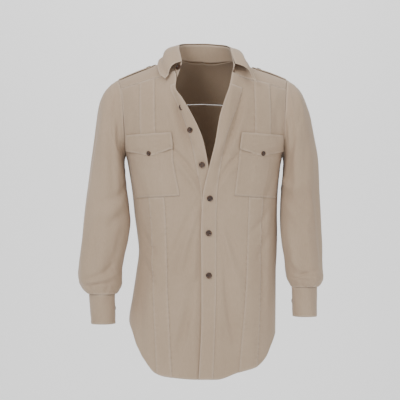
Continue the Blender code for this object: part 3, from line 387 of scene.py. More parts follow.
# Folds on the back, which the photo doesn't show: soft drapes from the yoke, the
# hollow over the small of the back, and the skirt's own.
BACK_RELIEF = (
    Fold(-0.1220, -0.110, -0.0850, -0.330, 0.0150, 0.0045, 0.006),
    Fold(-0.0930, -0.130, -0.0600, -0.300, 0.0110, -0.0035, 0.004),
    Fold(0.1180, -0.110, 0.0840, -0.320, 0.0150, 0.0045, -0.006),
    Fold(0.0900, -0.120, 0.0620, -0.330, 0.0110, -0.0035, -0.004),
    Fold(-0.0100, -0.120, 0.0060, -0.300, 0.0160, 0.0025, 0.006),
    Fold(-0.1500, -0.330, -0.0400, -0.400, 0.0120, -0.0035, 0.008),
    Fold(-0.1400, -0.400, -0.0200, -0.450, 0.0120, -0.0050, -0.008, 0.3),
    Fold(-0.1300, -0.430, -0.0100, -0.480, 0.0120, 0.0040, -0.006),
    Fold(0.1380, -0.340, 0.0300, -0.410, 0.0120, -0.0035, -0.007),
    Fold(0.1300, -0.412, 0.0180, -0.500, 0.0130, -0.0050, 0.008, 0.3),
    Fold(0.1400, -0.450, 0.0300, -0.520, 0.0120, 0.0036, 0.006),
    Fold(-0.0620, -0.520, -0.0860, -0.750, 0.0150, 0.0052, 0.005),
    Fold(-0.0900, -0.530, -0.1150, -0.740, 0.0120, -0.0045, 0.004),
    Fold(0.0040, -0.540, -0.0060, -0.780, 0.0170, -0.0055, 0.006, 0.2),
    Fold(0.0340, -0.560, 0.0360, -0.760, 0.0120, 0.0035, -0.003),
    Fold(0.0700, -0.520, 0.0900, -0.740, 0.0150, 0.0050, -0.004),
    Fold(0.1060, -0.540, 0.1200, -0.740, 0.0120, -0.0040, 0.004),
    Fold(-0.1500, -0.480, -0.1540, -0.680, 0.0120, 0.0030, 0.003),
    Fold(0.1520, -0.470, 0.1500, -0.680, 0.0120, 0.0030, -0.003),
    Fold(-0.1700, -0.270, -0.1300, -0.350, 0.0100, -0.0030, 0.004),
    Fold(0.1720, -0.270, 0.1340, -0.350, 0.0100, -0.0030, -0.004),
)
# Folds on each sleeve: degrees round from the outside by way of the front, and
# rings down from the armhole. 90 faces the front and 180 the body.
RIGHT_SLEEVE_FOLDS = (
    Fold(52, 0.4, 96, 2.6, 9, -0.0042, 6, 0.3),
    Fold(70, 0.8, 112, 3.4, 9, 0.0034, 5),
    Fold(96, 0.6, 124, 2.6, 8, -0.0034, 4),
    Fold(60, 2.6, 78, 6.4, 12, 0.0028, -6),
    Fold(84, 3.2, 104, 6.6, 11, -0.0034, 5),
    Fold(122, 3.4, 116, 6.8, 12, 0.0026, 4),
    Fold(150, 5.8, 84, 7.3, 10, -0.0052, 8, 0.35),
    Fold(146, 6.5, 78, 7.9, 11, 0.0044, 6),
    Fold(142, 7.5, 96, 8.5, 9, -0.0040, -5, 0.3),
    Fold(100, 7.8, 56, 8.8, 11, 0.0034, -6),
    Fold(72, 7.9, 66, 10.4, 11, -0.0032, 5),
    Fold(130, 8.8, 108, 10.8, 11, -0.0038, 6),
    Fold(94, 8.8, 100, 11.2, 11, 0.0040, -5),
    Fold(124, 10.4, 52, 11.5, 8, -0.0042, 6, 0.3),
    Fold(132, 11.2, 48, 11.9, 8, 0.0040, 5),
    Fold(110, 11.9, 60, 12.4, 7, -0.0036, -4),
    Fold(84, 12.1, 88, 13.8, 8, -0.0030),
    Fold(112, 12.2, 108, 13.8, 7, -0.0026),
    Fold(58, 12.0, 66, 13.8, 8, -0.0026),
    Fold(24, 4.0, 16, 8.0, 13, -0.0030, 6),
    Fold(38, 6.0, 30, 10.0, 12, 0.0026, -5),
    Fold(8, 9.0, 20, 12.0, 12, -0.0030, 4),
    Fold(300, 1.0, 262, 4.5, 13, -0.0040, 6),
    Fold(282, 1.4, 244, 5.0, 12, 0.0034, 6),
    Fold(210, 6.2, 290, 7.4, 12, -0.0046, 6),
    Fold(214, 7.0, 296, 8.2, 12, 0.0042, 5),
    Fold(300, 8.4, 230, 10.4, 12, -0.0040, 5),
    Fold(320, 8.8, 258, 11.0, 11, 0.0034, 5),
    Fold(240, 10.9, 320, 11.7, 9, -0.0040, 4),
    Fold(270, 12.0, 276, 13.8, 8, -0.0030),
)
LEFT_SLEEVE_FOLDS = (
    Fold(48, 0.4, 92, 2.4, 9, -0.0044, 6, 0.3),
    Fold(66, 0.7, 108, 3.2, 9, 0.0036, 5),
    Fold(92, 0.6, 122, 2.8, 8, -0.0036, 4),
    Fold(34, 1.6, 64, 4.4, 10, -0.0030, 5),
    Fold(64, 2.8, 82, 6.2, 12, 0.0030, -6),
    Fold(88, 3.4, 108, 6.4, 11, -0.0032, 5),
    Fold(124, 3.2, 118, 6.2, 12, 0.0026, 4),
    Fold(152, 5.4, 96, 6.6, 10, -0.0054, 8, 0.35),
    Fold(148, 6.1, 82, 7.2, 11, 0.0046, 7),
    Fold(96, 6.4, 60, 7.6, 10, -0.0036, -6),
    Fold(144, 7.1, 92, 8.3, 10, -0.0044, -6, 0.3),
    Fold(110, 7.6, 62, 8.7, 11, 0.0036, -5),
    Fold(70, 7.8, 76, 10.2, 11, -0.0032, 5),
    Fold(128, 8.6, 112, 10.8, 11, -0.0038, 5),
    Fold(96, 8.9, 92, 11.0, 11, 0.0038, -5),
    Fold(126, 10.2, 58, 11.2, 8, -0.0044, 6, 0.3),
    Fold(58, 11.0, 120, 11.8, 8, 0.0042, 5),
    Fold(124, 11.6, 54, 12.3, 7, -0.0038, -4),
    Fold(92, 12.2, 90, 13.8, 8, -0.0032),
    Fold(118, 12.2, 114, 13.8, 7, -0.0028),
    Fold(62, 12.1, 70, 13.8, 8, -0.0028),
    Fold(20, 4.4, 12, 8.2, 13, -0.0030, -6),
    Fold(36, 6.4, 28, 10.2, 12, 0.0026, 5),
    Fold(10, 9.2, 24, 12.0, 12, -0.0030, -4),
    Fold(302, 1.0, 264, 4.4, 13, -0.0040, 6),
    Fold(284, 1.5, 248, 5.2, 12, 0.0034, 6),
    Fold(208, 6.0, 286, 7.2, 12, -0.0046, 6),
    Fold(212, 6.8, 292, 8.0, 12, 0.0042, 5),
    Fold(304, 8.2, 234, 10.2, 12, -0.0040, 5),
    Fold(322, 8.6, 262, 10.9, 11, 0.0034, 5),
    Fold(244, 10.8, 316, 11.6, 9, -0.0040, 4),
    Fold(268, 12.0, 272, 13.8, 8, -0.0030),
)



def soft_noise(x: np.ndarray, z: np.ndarray, seed: float, octaves: int = 3) -> np.ndarray:
    """Give smooth seeded noise at each place.

    Args:
        x: first coordinate, already in units of the noise's size.
        z: second coordinate in the same units.
        seed: third coordinate, which picks the pattern.
        octaves: how many finer layers are added.

    Returns:
        Values from about -1 to 1.
    """
    flat = np.empty(x.size)
    for index, (a, b) in enumerate(zip(x.ravel(), z.ravel())):
        flat[index] = noise.fractal(Vector((a, b, seed)), 0.8, 2.1, octaves)
    return flat.reshape(x.shape)


class Torso:
    """The general figure's form that the body of the shirt lies on."""

    def __init__(self) -> None:
        """Make the curves through the form's tables."""
        self.sections = Curve(SECTIONS)
        self.ridges = Curve(RIDGE)
        self.armholes = Curve(ARMHOLE)

    def half_width(self, side: np.ndarray | int, height: np.ndarray) -> np.ndarray:
        """Give the half width of the body at each height under the chest."""
        values = self.sections(np.minimum(height, CHEST))
        return np.where(np.asarray(side) < 0, values[..., 0], values[..., 1])

    def armhole(self, side: np.ndarray | int, height: np.ndarray) -> np.ndarray:
        """Give the half width of the armhole's edge at each height."""
        values = self.armholes(height)
        return np.where(np.asarray(side) < 0, values[..., 0], values[..., 1])

    def ridge(self, across: np.ndarray) -> np.ndarray:
        """Give the height of the shoulder ridge at each distance across."""
        values = self.ridges(np.abs(across))
        return np.where(np.asarray(across) < 0, values[..., 0], values[..., 1])

    def slice_depth(self, across: np.ndarray, height: np.ndarray, face: np.ndarray) -> np.ndarray:
        """Give the depth of the flat section at each place, front (-1) or back (1)."""
        values = self.sections(np.minimum(height, CHEST))
        half = np.where(np.asarray(across) < 0, values[..., 0], values[..., 1])
        share = np.minimum(np.abs(across) / half, 1.0)
        deep = np.where(np.asarray(face) < 0, values[..., 2], values[..., 3])
        return deep * (1 - share**SQUARENESS) ** (1 / SQUARENESS)

    def form(self, across: np.ndarray, height: np.ndarray, face: int) -> np.ndarray:
        """Give the points of the plain form seen at places from the front or back."""
        rise = np.maximum(self.ridge(across) - CHEST, 1e-6)
        share = np.clip((height - CHEST) / rise, 0.0, 1.0)
        depth = self.slice_depth(across, height, face) * (1 - share**CAP) ** (1 / CAP)
        return np.stack((across, face * depth, height), axis=-1)

    def over(self, across: np.ndarray, angle: np.ndarray) -> np.ndarray:
        """Give the points over the shoulder: 0 is the chest, 90 the ridge, 180 the back."""
        turn = np.radians(angle)
        face = np.where(angle <= 90, -1, 1)
        chest = np.full_like(across, CHEST)
        depth = self.slice_depth(across, chest, face) * np.abs(np.cos(turn)) ** (2 / CAP)
        rise = (self.ridge(across) - CHEST) * np.abs(np.sin(turn)) ** (2 / CAP)
        return np.stack((across, face * depth, CHEST + rise), axis=-1)

    def angle_at(self, height: float, top: float) -> float:
        """Give the angle over the shoulder at a height, for a ridge of a known height."""
        share = min(max((height - CHEST) / (top - CHEST), 0.0), 1.0)
        return math.degrees(math.asin(share ** (CAP / 2)))

    def tip(self, side: Side) -> float:
        """Give the ridge's height at the armhole of one side."""
        return float(self.ridge(side.value * self.armhole(side.value, np.array(TIP))))

    def loop_height(self, step: float) -> float:
        """Give the height of one step around the armhole."""
        turn = 2 * math.pi * step / LOOP_STEPS
        return (TIP + ARMPIT) / 2 + (TIP - ARMPIT) / 2 * math.cos(turn)


TORSO = Torso()


class Cloth:
    """A grid of points on a piece's outer face, with normals and places."""

    def __init__(self, points: np.ndarray, outward: Sequence[float], closed: bool = False,
                 normals: np.ndarray | None = None) -> None:
        """Keep the grid and work out its normals.

        Args:
            points: rows by columns by three.
            outward: which way the outer face looks at the grid's middle.
            closed: whether the last column joins the first one.
            normals: the normals, where they are known already.
        """
        self.points = points
        self.closed = closed
        if normals is None:
            wide = points
            if closed:
                wide = np.concatenate((points[:, -1:], points, points[:, :1]), axis=1)
            normals = np.cross(np.gradient(wide, axis=0), np.gradient(wide, axis=1))
            if closed:
                normals = normals[:, 1:-1]
            normals = normals / np.maximum(np.linalg.norm(normals, axis=2, keepdims=True), 1e-12)
            if np.dot(normals[points.shape[0] // 2, points.shape[1] // 2], outward) < 0:
                normals = -normals
        self.normals = normals

    def raised(self, heights: np.ndarray) -> "Cloth":
        """Return the cloth with each point moved out by its own height."""
        row, column = self.points.shape[0] // 2, self.points.shape[1] // 2
        return Cloth(self.points + self.normals * heights[..., None], self.normals[row, column],
                     self.closed)

    def block(self, rows: slice, columns: slice, lift: np.ndarray | float) -> "Cloth":
        """Cut a patch out of the grid along its lines and move it out.

        Args:
            rows: the rows that the patch covers.
            columns: the columns that it covers.
            lift: how far out it lies, one value or one for each point.

        Returns:
            The patch, with the panel's own normals.
        """
        points, normals = self.points[rows, columns], self.normals[rows, columns]
        height = np.broadcast_to(np.asarray(lift, dtype=float), points.shape[:2])
        return Cloth(points + normals * height[..., None], (0, 0, 1), normals=normals)

    def sample(self, rows: np.ndarray, columns: np.ndarray) -> tuple[np.ndarray, np.ndarray]:
        """Read points and normals between the grid's lines.

        Args:
            rows: row places.
            columns: column places, of the same shape.

        Returns:
            The points and the unit normals.
        """
        r = np.clip(rows, 0, self.points.shape[0] - 1.001)
        c = np.clip(columns, 0, self.points.shape[1] - 1.001)
        r0, c0 = r.astype(int), c.astype(int)
        fr, fc = (r - r0)[..., None], (c - c0)[..., None]
        both = []
        for grid in (self.points, self.normals):
            both.append(grid[r0, c0] * (1 - fr) * (1 - fc) + grid[r0, c0 + 1] * (1 - fr) * fc
                        + grid[r0 + 1, c0] * fr * (1 - fc) + grid[r0 + 1, c0 + 1] * fr * fc)
        normals = both[1] / np.linalg.norm(both[1], axis=-1, keepdims=True)
        return both[0], normals

    def nearest(self, across: float, height: float) -> tuple[float, float]:
        """Find the row and column whose point is seen at a place from the front."""
        miss = (self.points[..., 0] - across) ** 2 + (self.points[..., 2] - height) ** 2
        row, column = np.unravel_index(int(np.argmin(miss)), miss.shape)
        return float(row), float(column)

    def area(self) -> float:
        """Give the cloth's area in square metres."""
        points = self.points
        if self.closed:
            points = np.concatenate((points, points[:, :1]), axis=1)
        one = np.cross(points[1:, :-1] - points[:-1, :-1], points[:-1, 1:] - points[:-1, :-1])
        two = np.cross(points[1:, :-1] - points[1:, 1:], points[:-1, 1:] - points[1:, 1:])
        return float((np.linalg.norm(one, axis=2) + np.linalg.norm(two, axis=2)).sum() / 2)


class Wire:
    """A shader socket that takes part in sums, as a number would."""

    def __init__(self, shop: "NodeShop", socket: bpy.types.NodeSocket) -> None:
        """Keep the socket and the shop that adds nodes after it."""
        self.shop = shop
        self.socket = socket

    def __add__(self, other: "Wire | float") -> "Wire":
        """Add a number or another wire."""
        return self.shop.math("ADD", self, other)

    def __sub__(self, other: "Wire | float") -> "Wire":
        """Take away a number or another wire."""
        return self.shop.math("SUBTRACT", self, other)

    def __mul__(self, other: "Wire | float") -> "Wire":
        """Multiply by a number or another wire."""
        return self.shop.math("MULTIPLY", self, other)

    def clipped(self) -> "Wire":
        """Hold the value between 0 and 1."""
        return self.shop.math("MAXIMUM", self.shop.math("MINIMUM", self, 1.0), 0.0)


class NodeShop:
    """Adds nodes to one material and joins them up."""

    def __init__(self, material: bpy.types.Material) -> None:
        """Take a new material and its Principled shader."""
        material.use_nodes = True
        self.tree = material.node_tree
        self.shader = self.tree.nodes["Principled BSDF"]

    def join(self, source: "Wire | float | Sequence[float]", target: bpy.types.NodeSocket) -> None:
        """Link a wire to a socket, or set the socket's own value."""
        if isinstance(source, Wire):
            self.tree.links.new(source.socket, target)
        else:
            target.default_value = source

    def node(self, kind: str, inputs: dict[str, object], settings: dict[str, object] | None = None,
             output: int | str = 0) -> Wire:
        """Add one node.

        Args:
            kind: the node's type name.
            inputs: values or wires by socket name.
            settings: the node's own properties.
            output: which of its outputs to return.

        Returns:
            The output as a wire.
        """
        made = self.tree.nodes.new(kind)
        for name, value in (settings or {}).items():
            setattr(made, name, value)
        for name, value in inputs.items():
            self.join(value, made.inputs[name])
        return Wire(self, made.outputs[output])

    def math(self, operation: str, first: Wire | float, second: Wire | float) -> Wire:
        """Add one Math node with two inputs."""
        made = self.tree.nodes.new("ShaderNodeMath")
        made.operation = operation
        self.join(first, made.inputs[0])
        self.join(second, made.inputs[1])
        return Wire(self, made.outputs[0])

    def place(self, stretch: Sequence[float]) -> Wire:
        """Give Object coordinates, stretched along each axis."""
        coordinates = self.node("ShaderNodeTexCoord", {}, output="Object")
        return self.node("ShaderNodeMapping", {"Vector": coordinates, "Scale": stretch})

    def noise(self, vector: Wire, scale: float, detail: float = 3.0) -> Wire:
        """Give smooth noise from 0 to 1."""
        return self.node("ShaderNodeTexNoise", {"Vector": vector, "Scale": scale, "Detail": detail})

    def blend(self, factor: Wire, first: "Wire | Sequence[float]",
              second: "Wire | Sequence[float]") -> Wire:
        """Mix two colours by a wire."""
        made = self.tree.nodes.new("ShaderNodeMix")
        made.data_type = "RGBA"
        self.join(factor, made.inputs[0])
        self.join(first, made.inputs[6])
        self.join(second, made.inputs[7])
        return Wire(self, made.outputs[2])


@dataclass(frozen=True)
class CottonFinish:
    """Washed khaki cotton: its tones, its threads and its paler edges, partly rubbed wear and partly
    painted highlight on the raised seam edges.
    """

    name: str
    deep: tuple[float, float, float, float]
    pale: tuple[float, float, float, float]
    edge_highlight_and_wear: tuple[float, float, float, float]
    roughness: float = 0.88
    thread: float = 0.00062
    crinkle: float = 0.0007

    def material(self) -> bpy.types.Material:
        """Build the cloth's material.

        Returns:
            A material whose weave follows the piece's own cut.
        """
        made = bpy.data.materials.new(self.name)
        shop = NodeShop(made)
        wash = shop.noise(shop.place((1.0, 1.0, 0.55)), 7.0, 4.0)
        slub = shop.noise(shop.place((60.0, 60.0, 9.0)), 9.0, 2.0)
        tone = ((wash - 0.5) * 1.5 + (slub - 0.5) * 0.7 + 0.5).clipped()
        cloth = shop.blend(tone, self.deep, self.pale)
        # Paler colour towards each piece's edges: partly rubbed wear, partly painted highlight on the
        # raised seam edges.
        edge = shop.node("ShaderNodeAttribute", {}, {"attribute_name": "edge"}, "Fac")
        worn = (edge * (wash * 0.8 + 0.25)).clipped()
        shop.join(shop.blend(worn, cloth, self.edge_highlight_and_wear), shop.shader.inputs["Base Color"])
        cut = shop.node("ShaderNodeUVMap", {}, {"uv_map": "cut"})
        turns = 1.0 / (self.thread * 20.0)
        warp = shop.node("ShaderNodeTexWave", {"Vector": cut, "Scale": turns}, {"bands_direction": "X"},
                         "Fac")
        weft = shop.node("ShaderNodeTexWave", {"Vector": cut, "Scale": turns}, {"bands_direction": "Y"},
                         "Fac")
        crumple = shop.noise(shop.place((1.0, 1.0, 0.7)), 62.0, 3.0)
        weave = shop.node("ShaderNodeBump", {"Strength": 0.35, "Distance": 0.00012,
                                             "Height": warp * weft})
        bump = shop.node("ShaderNodeBump", {"Strength": 0.5, "Distance": self.crinkle,
                                            "Height": crumple, "Normal": weave})
        shop.join(bump, shop.shader.inputs["Normal"])
        shop.join(slub * 0.08 + (self.roughness - 0.04), shop.shader.inputs["Roughness"])
        shop.shader.inputs["Sheen Weight"].default_value = 0.18
        shop.shader.inputs["Sheen Roughness"].default_value = 0.5
        shop.shader.inputs["Specular IOR Level"].default_value = 0.2
        return made


@dataclass(frozen=True)
class HornFinish:
    """Brown horn-look button resin, mottled and softly polished."""

    name: str
    dark: tuple[float, float, float, float]
    light: tuple[float, float, float, float]

    def material(self) -> bpy.types.Material:
        """Build the button's material."""
        made = bpy.data.materials.new(self.name)
        shop = NodeShop(made)
        cloud = shop.noise(shop.place((1.0, 1.0, 1.0)), 190.0, 4.0)
        shop.join(shop.blend(((cloud - 0.42) * 3.2).clipped(), self.dark, self.light),
                  shop.shader.inputs["Base Color"])
        shop.join(cloud * 0.16 + 0.26, shop.shader.inputs["Roughness"])
        shop.shader.inputs["Coat Weight"].default_value = 0.25
        return made


@dataclass(frozen=True)
class ThreadFinish:
    """Sewing thread, a little paler than the cloth or dark in a button."""

    name: str
    color: tuple[float, float, float, float]

    def material(self) -> bpy.types.Material:
        """Build the thread's material."""
        made = bpy.data.materials.new(self.name)
        shop = NodeShop(made)
        twist = shop.noise(shop.place((1.0, 1.0, 1.0)), 900.0, 1.0)
        darker = tuple(value * 0.7 for value in self.color[:3]) + (1.0,)
        shop.join(shop.blend(twist, darker, self.color), shop.shader.inputs["Base Color"])
        shop.shader.inputs["Roughness"].default_value = 0.7
        return made


class Rack:
    """The shirt's finishes, each made once."""

    def __init__(self) -> None:
        """Make every material."""
        # The third colour is the paler edge colour: partly rubbed wear, partly painted highlight on the
        # raised seam edges.
        self.khaki = CottonFinish("khaki_cotton", (0.405, 0.295, 0.205, 1.0), (0.500, 0.380, 0.275, 1.0),
                                  (0.600, 0.480, 0.370, 1.0)).material()
        self.horn = HornFinish("horn_button", (0.030, 0.013, 0.008, 1.0),
                               (0.130, 0.062, 0.030, 1.0)).material()
        self.thread = ThreadFinish("khaki_thread", (0.50, 0.39, 0.28, 1.0)).material()
        self.dark = ThreadFinish("brown_thread", (0.12, 0.075, 0.05, 1.0)).material()


def sewn_edge(cloth: Cloth, reach: float) -> np.ndarray:
    """Give how near each point is to the edge of its piece.

    Args:
        cloth: the piece.
        reach: how far in from the edge the value fades.

    Returns:
        1 on the edge and 0 well inside.
    """
    points = cloth.points
    down = np.linalg.norm(np.diff(points, axis=0), axis=2)
    across = np.linalg.norm(np.diff(points, axis=1), axis=2)
    rows = np.concatenate((np.zeros((1, points.shape[1])), np.cumsum(down, axis=0)))
    columns = np.concatenate((np.zeros((points.shape[0], 1)), np.cumsum(across, axis=1)), axis=1)
    near = np.minimum(rows, rows[-1:] - rows)
    if not cloth.closed:
        near = np.minimum(near, np.minimum(columns, columns[:, -1:] - columns))
    return np.exp(-((near / reach) ** 2))


def cloth_piece(name: str, cloth: Cloth, material: bpy.types.Material, nodes: Sequence[str],
                cut: tuple[float, float],
                thick: float = THIN, worn: float = 0.0035) -> bpy.types.Object:
    """Make one piece of cloth from its grid.

    Args:
        name: the piece's name.
        cloth: its outer face.
        material: its finish.
        nodes: the solids that it stands for.
        cut: width and length of the rectangle that it was cut from.
        thick: the cloth's thickness.
        worn: how far in from its edges the paler colour reaches, partly rubbed wear and partly painted
            highlight on the raised seam edges.

    Returns:
        The finished piece.
    """
    grid, normals = cloth.points, cloth.normals
    edge = sewn_edge(cloth, worn)
    down = np.linalg.norm(np.diff(grid, axis=0), axis=2).mean(axis=1)
    across = np.linalg.norm(np.diff(grid, axis=1), axis=2).mean(axis=0)
    v = np.concatenate(((0.0,), np.cumsum(down)))
    u = np.concatenate(((0.0,), np.cumsum(across)))
    if cloth.closed:
        grid = np.concatenate((grid, grid[:, :1]), axis=1)
        edge = np.concatenate((edge, edge[:, :1]), axis=1)
        u = np.append(u, u[-1] + across.mean())
    rows, columns = grid.shape[:2]
    mesh = bmesh.new()
    bmesh.ops.create_grid(mesh, x_segments=columns - 1, y_segments=rows - 1, size=1.0)
    layer = mesh.loops.layers.uv.new("cut")
    near_edge = mesh.verts.layers.float.new("edge")
    flat = grid.reshape(-1, 3)
    levels = edge.reshape(-1)
    for index, vert in enumerate(mesh.verts):
        vert.co = flat[index]
        vert[near_edge] = levels[index]
    mesh.verts.index_update()
    for face in mesh.faces:
        face.smooth = True
        for loop in face.loops:
            row, column = divmod(loop.vert.index, columns)
            loop[layer].uv = (u[column], v[row])
    mesh.faces.ensure_lookup_table()
    middle = mesh.faces[len(mesh.faces) // 2]
    middle.normal_update()
    row, column = divmod(middle.verts[0].index, columns)
    if middle.normal.dot(Vector(normals[row, column % normals.shape[1]])) < 0:
        bmesh.ops.reverse_faces(mesh, faces=mesh.faces)
    if cloth.closed:
        mesh.verts.ensure_lookup_table()
        seam = [mesh.verts[r * columns + c] for r in range(rows) for c in (0, columns - 1)]
        bmesh.ops.remove_doubles(mesh, verts=seam, dist=1e-6)
    data = bpy.data.meshes.new(name)
    mesh.to_mesh(data)
    mesh.free()
    data.materials.append(material)
    made = bpy.data.objects.new(name, data)
    bpy.context.scene.collection.objects.link(made)
    skin = made.modifiers.new("thickness", "SOLIDIFY")
    skin.thickness = thick
    skin.offset = -1.0
    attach(made, "root")
    if nodes:
        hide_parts(*nodes)
    width, length = cut
    area = cloth.area()
    share = min(max(area, 0.3 * width * length), width * length)
    LOG.info("%s: %d x %d points, %.4f m2", name, rows, columns, area)
    return made


def stitch_row(name: str, paths: Sequence[tuple[np.ndarray, np.ndarray]],
               material: bpy.types.Material, pitch: float = 0.0032) -> bpy.types.Object:
    """Sew rows of stitches along lines on the cloth.

    Args:
        name: the piece's name.
        paths: for each row its points and the cloth's normals there.
        material: the thread's finish.
        pitch: length of one stitch with its gap.

    Returns:
        One piece with every stitch of these rows.
    """
    mesh = bmesh.new()
    for points, normals in paths:
        steps = np.linalg.norm(np.diff(points, axis=0), axis=1)
        along = np.concatenate(((0.0,), np.cumsum(steps)))
        count = max(int(along[-1] / pitch), 1)
        for index in range(count):
            start, end = (index + 0.12) * pitch, (index + 0.82) * pitch
            if end > along[-1]:
                break
            a = Vector([float(np.interp(start, along, points[:, k])) for k in range(3)])
            b = Vector([float(np.interp(end, along, points[:, k])) for k in range(3)])
            n = Vector([float(np.interp(start, along, normals[:, k])) for k in range(3)]).normalized()
            x = (b - a).normalized()
            y = n.cross(x).normalized()
            turn = Matrix((x, y, n)).transposed().to_4x4()
            size = Matrix.Diagonal(((b - a).length, 0.00045, 0.00028, 1.0))
            middle = (a + b) / 2 + n * 0.00012
            bmesh.ops.create_cube(mesh, size=1.0, matrix=Matrix.Translation(middle) @ turn @ size)
    for face in mesh.faces:
        face.smooth = False
    data = bpy.data.meshes.new(name)
    mesh.to_mesh(data)
    mesh.free()
    data.materials.append(material)
    made = bpy.data.objects.new(name, data)
    bpy.context.scene.collection.objects.link(made)
    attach(made, "root")
    return made


def inset_path(cloth: Cloth, side: str, inset: float, start: float = 0.0,
               end: float = 1.0) -> tuple[np.ndarray, np.ndarray]:
    """Trace a line on the cloth beside one of its edges.

    Args:
        cloth: the piece.
        side: top, foot, first or last, for its rows' or columns' ends.
        inset: how far in from that edge, in metres.
        start: share of the edge where the line starts.
        end: share of the edge where it ends.

    Returns:
        The line's points and the cloth's normals there.
    """
    points, normals = cloth.points, cloth.normals
    if side in ("first", "last"):
        points, normals = points.transpose(1, 0, 2), normals.transpose(1, 0, 2)
    if side in ("foot", "last"):
        points, normals = points[::-1], normals[::-1]
    steps = np.linalg.norm(np.diff(points, axis=0), axis=2)
    along = np.concatenate((np.zeros((1, points.shape[1])), np.cumsum(steps, axis=0)))
    first, last = int(start * (points.shape[1] - 1)), int(end * (points.shape[1] - 1))
    line, facing = [], []
    for column in range(first, last + 1):
        place = float(np.interp(inset, along[:, column], np.arange(points.shape[0])))
        low = min(int(place), points.shape[0] - 2)
        t = place - low
        line.append(points[low, column] * (1 - t) + points[low + 1, column] * t)
        facing.append(normals[low, column])
    return np.array(line), np.array(facing)


class FrontPanel:
    """One front of the shirt, with everything that is sewn on it."""

    def __init__(self, side: Side, folds: Sequence[Fold], row_steps: Sequence[int] = (7, 6, 11),
                 column_steps: int = 6) -> None:
        """Work out the front's fine grid.

        Args:
            side: the wearer's side.
            folds: the folds that both fronts share.
            row_steps: fine rows for one row over the shoulder, at the chest and in the skirt.
            column_steps: fine columns for one column of the solid.
        """
        self.side = side
        self.folds = folds
        self.lines = Curve(RIGHT_LINES if side is Side.RIGHT else LEFT_LINES)
        self.steps = column_steps
        over_rows = CHEST_STEP - FRONT_SEAM_STEP
        chest_rows = len(CHEST_ROWS)
        parts = ((over_rows, row_steps[0]), (chest_rows, row_steps[1]), (SKIRT_ROWS, row_steps[2]))
        stops, self.row_marks, place = [], [], 0
        for count, fine in parts:
            for row in range(count):
                self.row_marks.append(len(stops))
                stops += [place + row + k / fine for k in range(fine)]
            place += count
        self.row_marks.append(len(stops))
        stops.append(float(place))
        self.stops = np.array(stops)
        columns = sum(COLUMN_STEPS)
        self.places = np.linspace(0, columns, columns * column_steps + 1)
        self.plain = Cloth(self.grid(), (0.0, -1.0, 0.0))
        self.cloth = self.plain.raised(self.relief(self.plain.points))

    def mark(self, row: float, column: float) -> tuple[int, int]:
        """Give the fine row and column of a row and a column of the solid."""
        low = int(row)
        extra = row - low
        first = self.row_marks[low]
        if extra:
            first += round(extra * (self.row_marks[low + 1] - first))
        return first, round(column * self.steps)

    def grid(self) -> np.ndarray:
        """Work out the plain grid on the form.

        Returns:
            Rows by columns by three.
        """
        sign = self.side.value
        rows, columns = np.meshgrid(self.stops, self.places, indexing="ij")
        counts = np.cumsum((0,) + COLUMN_STEPS)
        line = np.clip(np.searchsorted(counts, columns, side="right") - 1, 0, len(COLUMN_STEPS) - 1)
        share = (columns - counts[line]) / np.array(COLUMN_STEPS)[line]
        over_rows = CHEST_STEP - FRONT_SEAM_STEP
        top = TORSO.tip(self.side)
        angles = Curve([(k, TORSO.angle_at(TORSO.loop_height(FRONT_SEAM_STEP + k), top))
                        for k in range(over_rows + 1)])
        angle = angles(rows)[..., 0]
        heights = Curve([(over_rows, CHEST, CHEST)]
                        + [(over_rows + k, *row) for k, row in enumerate(CHEST_ROWS, 1)])
        hem = Curve(HEM)
        last = over_rows + len(CHEST_ROWS)
        across, height = np.full(rows.shape, sign * 0.1), np.full(rows.shape, -0.1)
        for _ in range(14):
            bounds = self.lines(height)
            edge = sign * np.where((rows < over_rows) | (height > ARMPIT),
                                   TORSO.armhole(sign, height), TORSO.half_width(sign, height))
            bounds = np.concatenate((bounds, edge[..., None]), axis=-1)
            low = np.take_along_axis(bounds, line[..., None], axis=-1)[..., 0]
            high = np.take_along_axis(bounds, line[..., None] + 1, axis=-1)[..., 0]
            across = low + (high - low) * share
            reach = np.clip(np.abs(across - bounds[..., 0]) / np.abs(edge - bounds[..., 0]), 0, 1)
            table = heights(np.clip(rows, over_rows, last))
            middle = table[..., 0] + (table[..., 1] - table[..., 0]) * reach
            skirt = np.clip((rows - last) / SKIRT_ROWS, 0, 1)
            lower = middle + (hem(across)[..., 0] - middle) * skirt
            height = np.where(rows < over_rows, TORSO.over(across, angle)[..., 2], lower)
        points = TORSO.form(across, height, -1)
        shoulder = TORSO.over(across, angle)
        points = np.where((rows < over_rows)[..., None], shoulder, points)
        points[..., 1] = np.minimum(points[..., 1], -0.0002)
        return points

    def relief(self, points: np.ndarray) -> np.ndarray:
        """Work out how far the folds move each point out.

        Args:
            points: the plain grid.

        Returns:
            A height for each point.
        """
        x, z = points[..., 0], points[..., 2]
        total = sum(fold.heights(x, z) for fold in self.folds)
        below = np.clip((-0.265 - z) / 0.04, 0, 1)
        total = total * (1 - 0.8 * below * np.exp(-(((x - 0.010) / 0.022) ** 4)))
        total = total + 0.0011 * soft_noise(x * 14.0, z * 8.0, 3.0)
        total = total + 0.00045 * soft_noise(x * 55.0, z * 34.0, 9.0, 2)
        edge = self.lines(z)[..., 0]
        near = np.exp(-(((x - edge) / 0.022) ** 2))
        total = total + np.where(z > -0.27, 0.006 * near * np.minimum((z + 0.27) / 0.06, 1.0), 0.0)
        total = total + self.pucker(x, z)
        reach = TORSO.half_width(self.side.value, z) - np.abs(x)
        total = total * np.clip(reach / 0.03, 0, 1)
        if self.side is Side.RIGHT:
            beyond = np.clip((x + 0.024) / 0.016, 0, 1)
            under = np.clip((-0.225 - z) / 0.045, 0, 1)
            total = total - (0.0036 * beyond**2 * (3 - 2 * beyond) * under**2 * (3 - 2 * under))
        return total

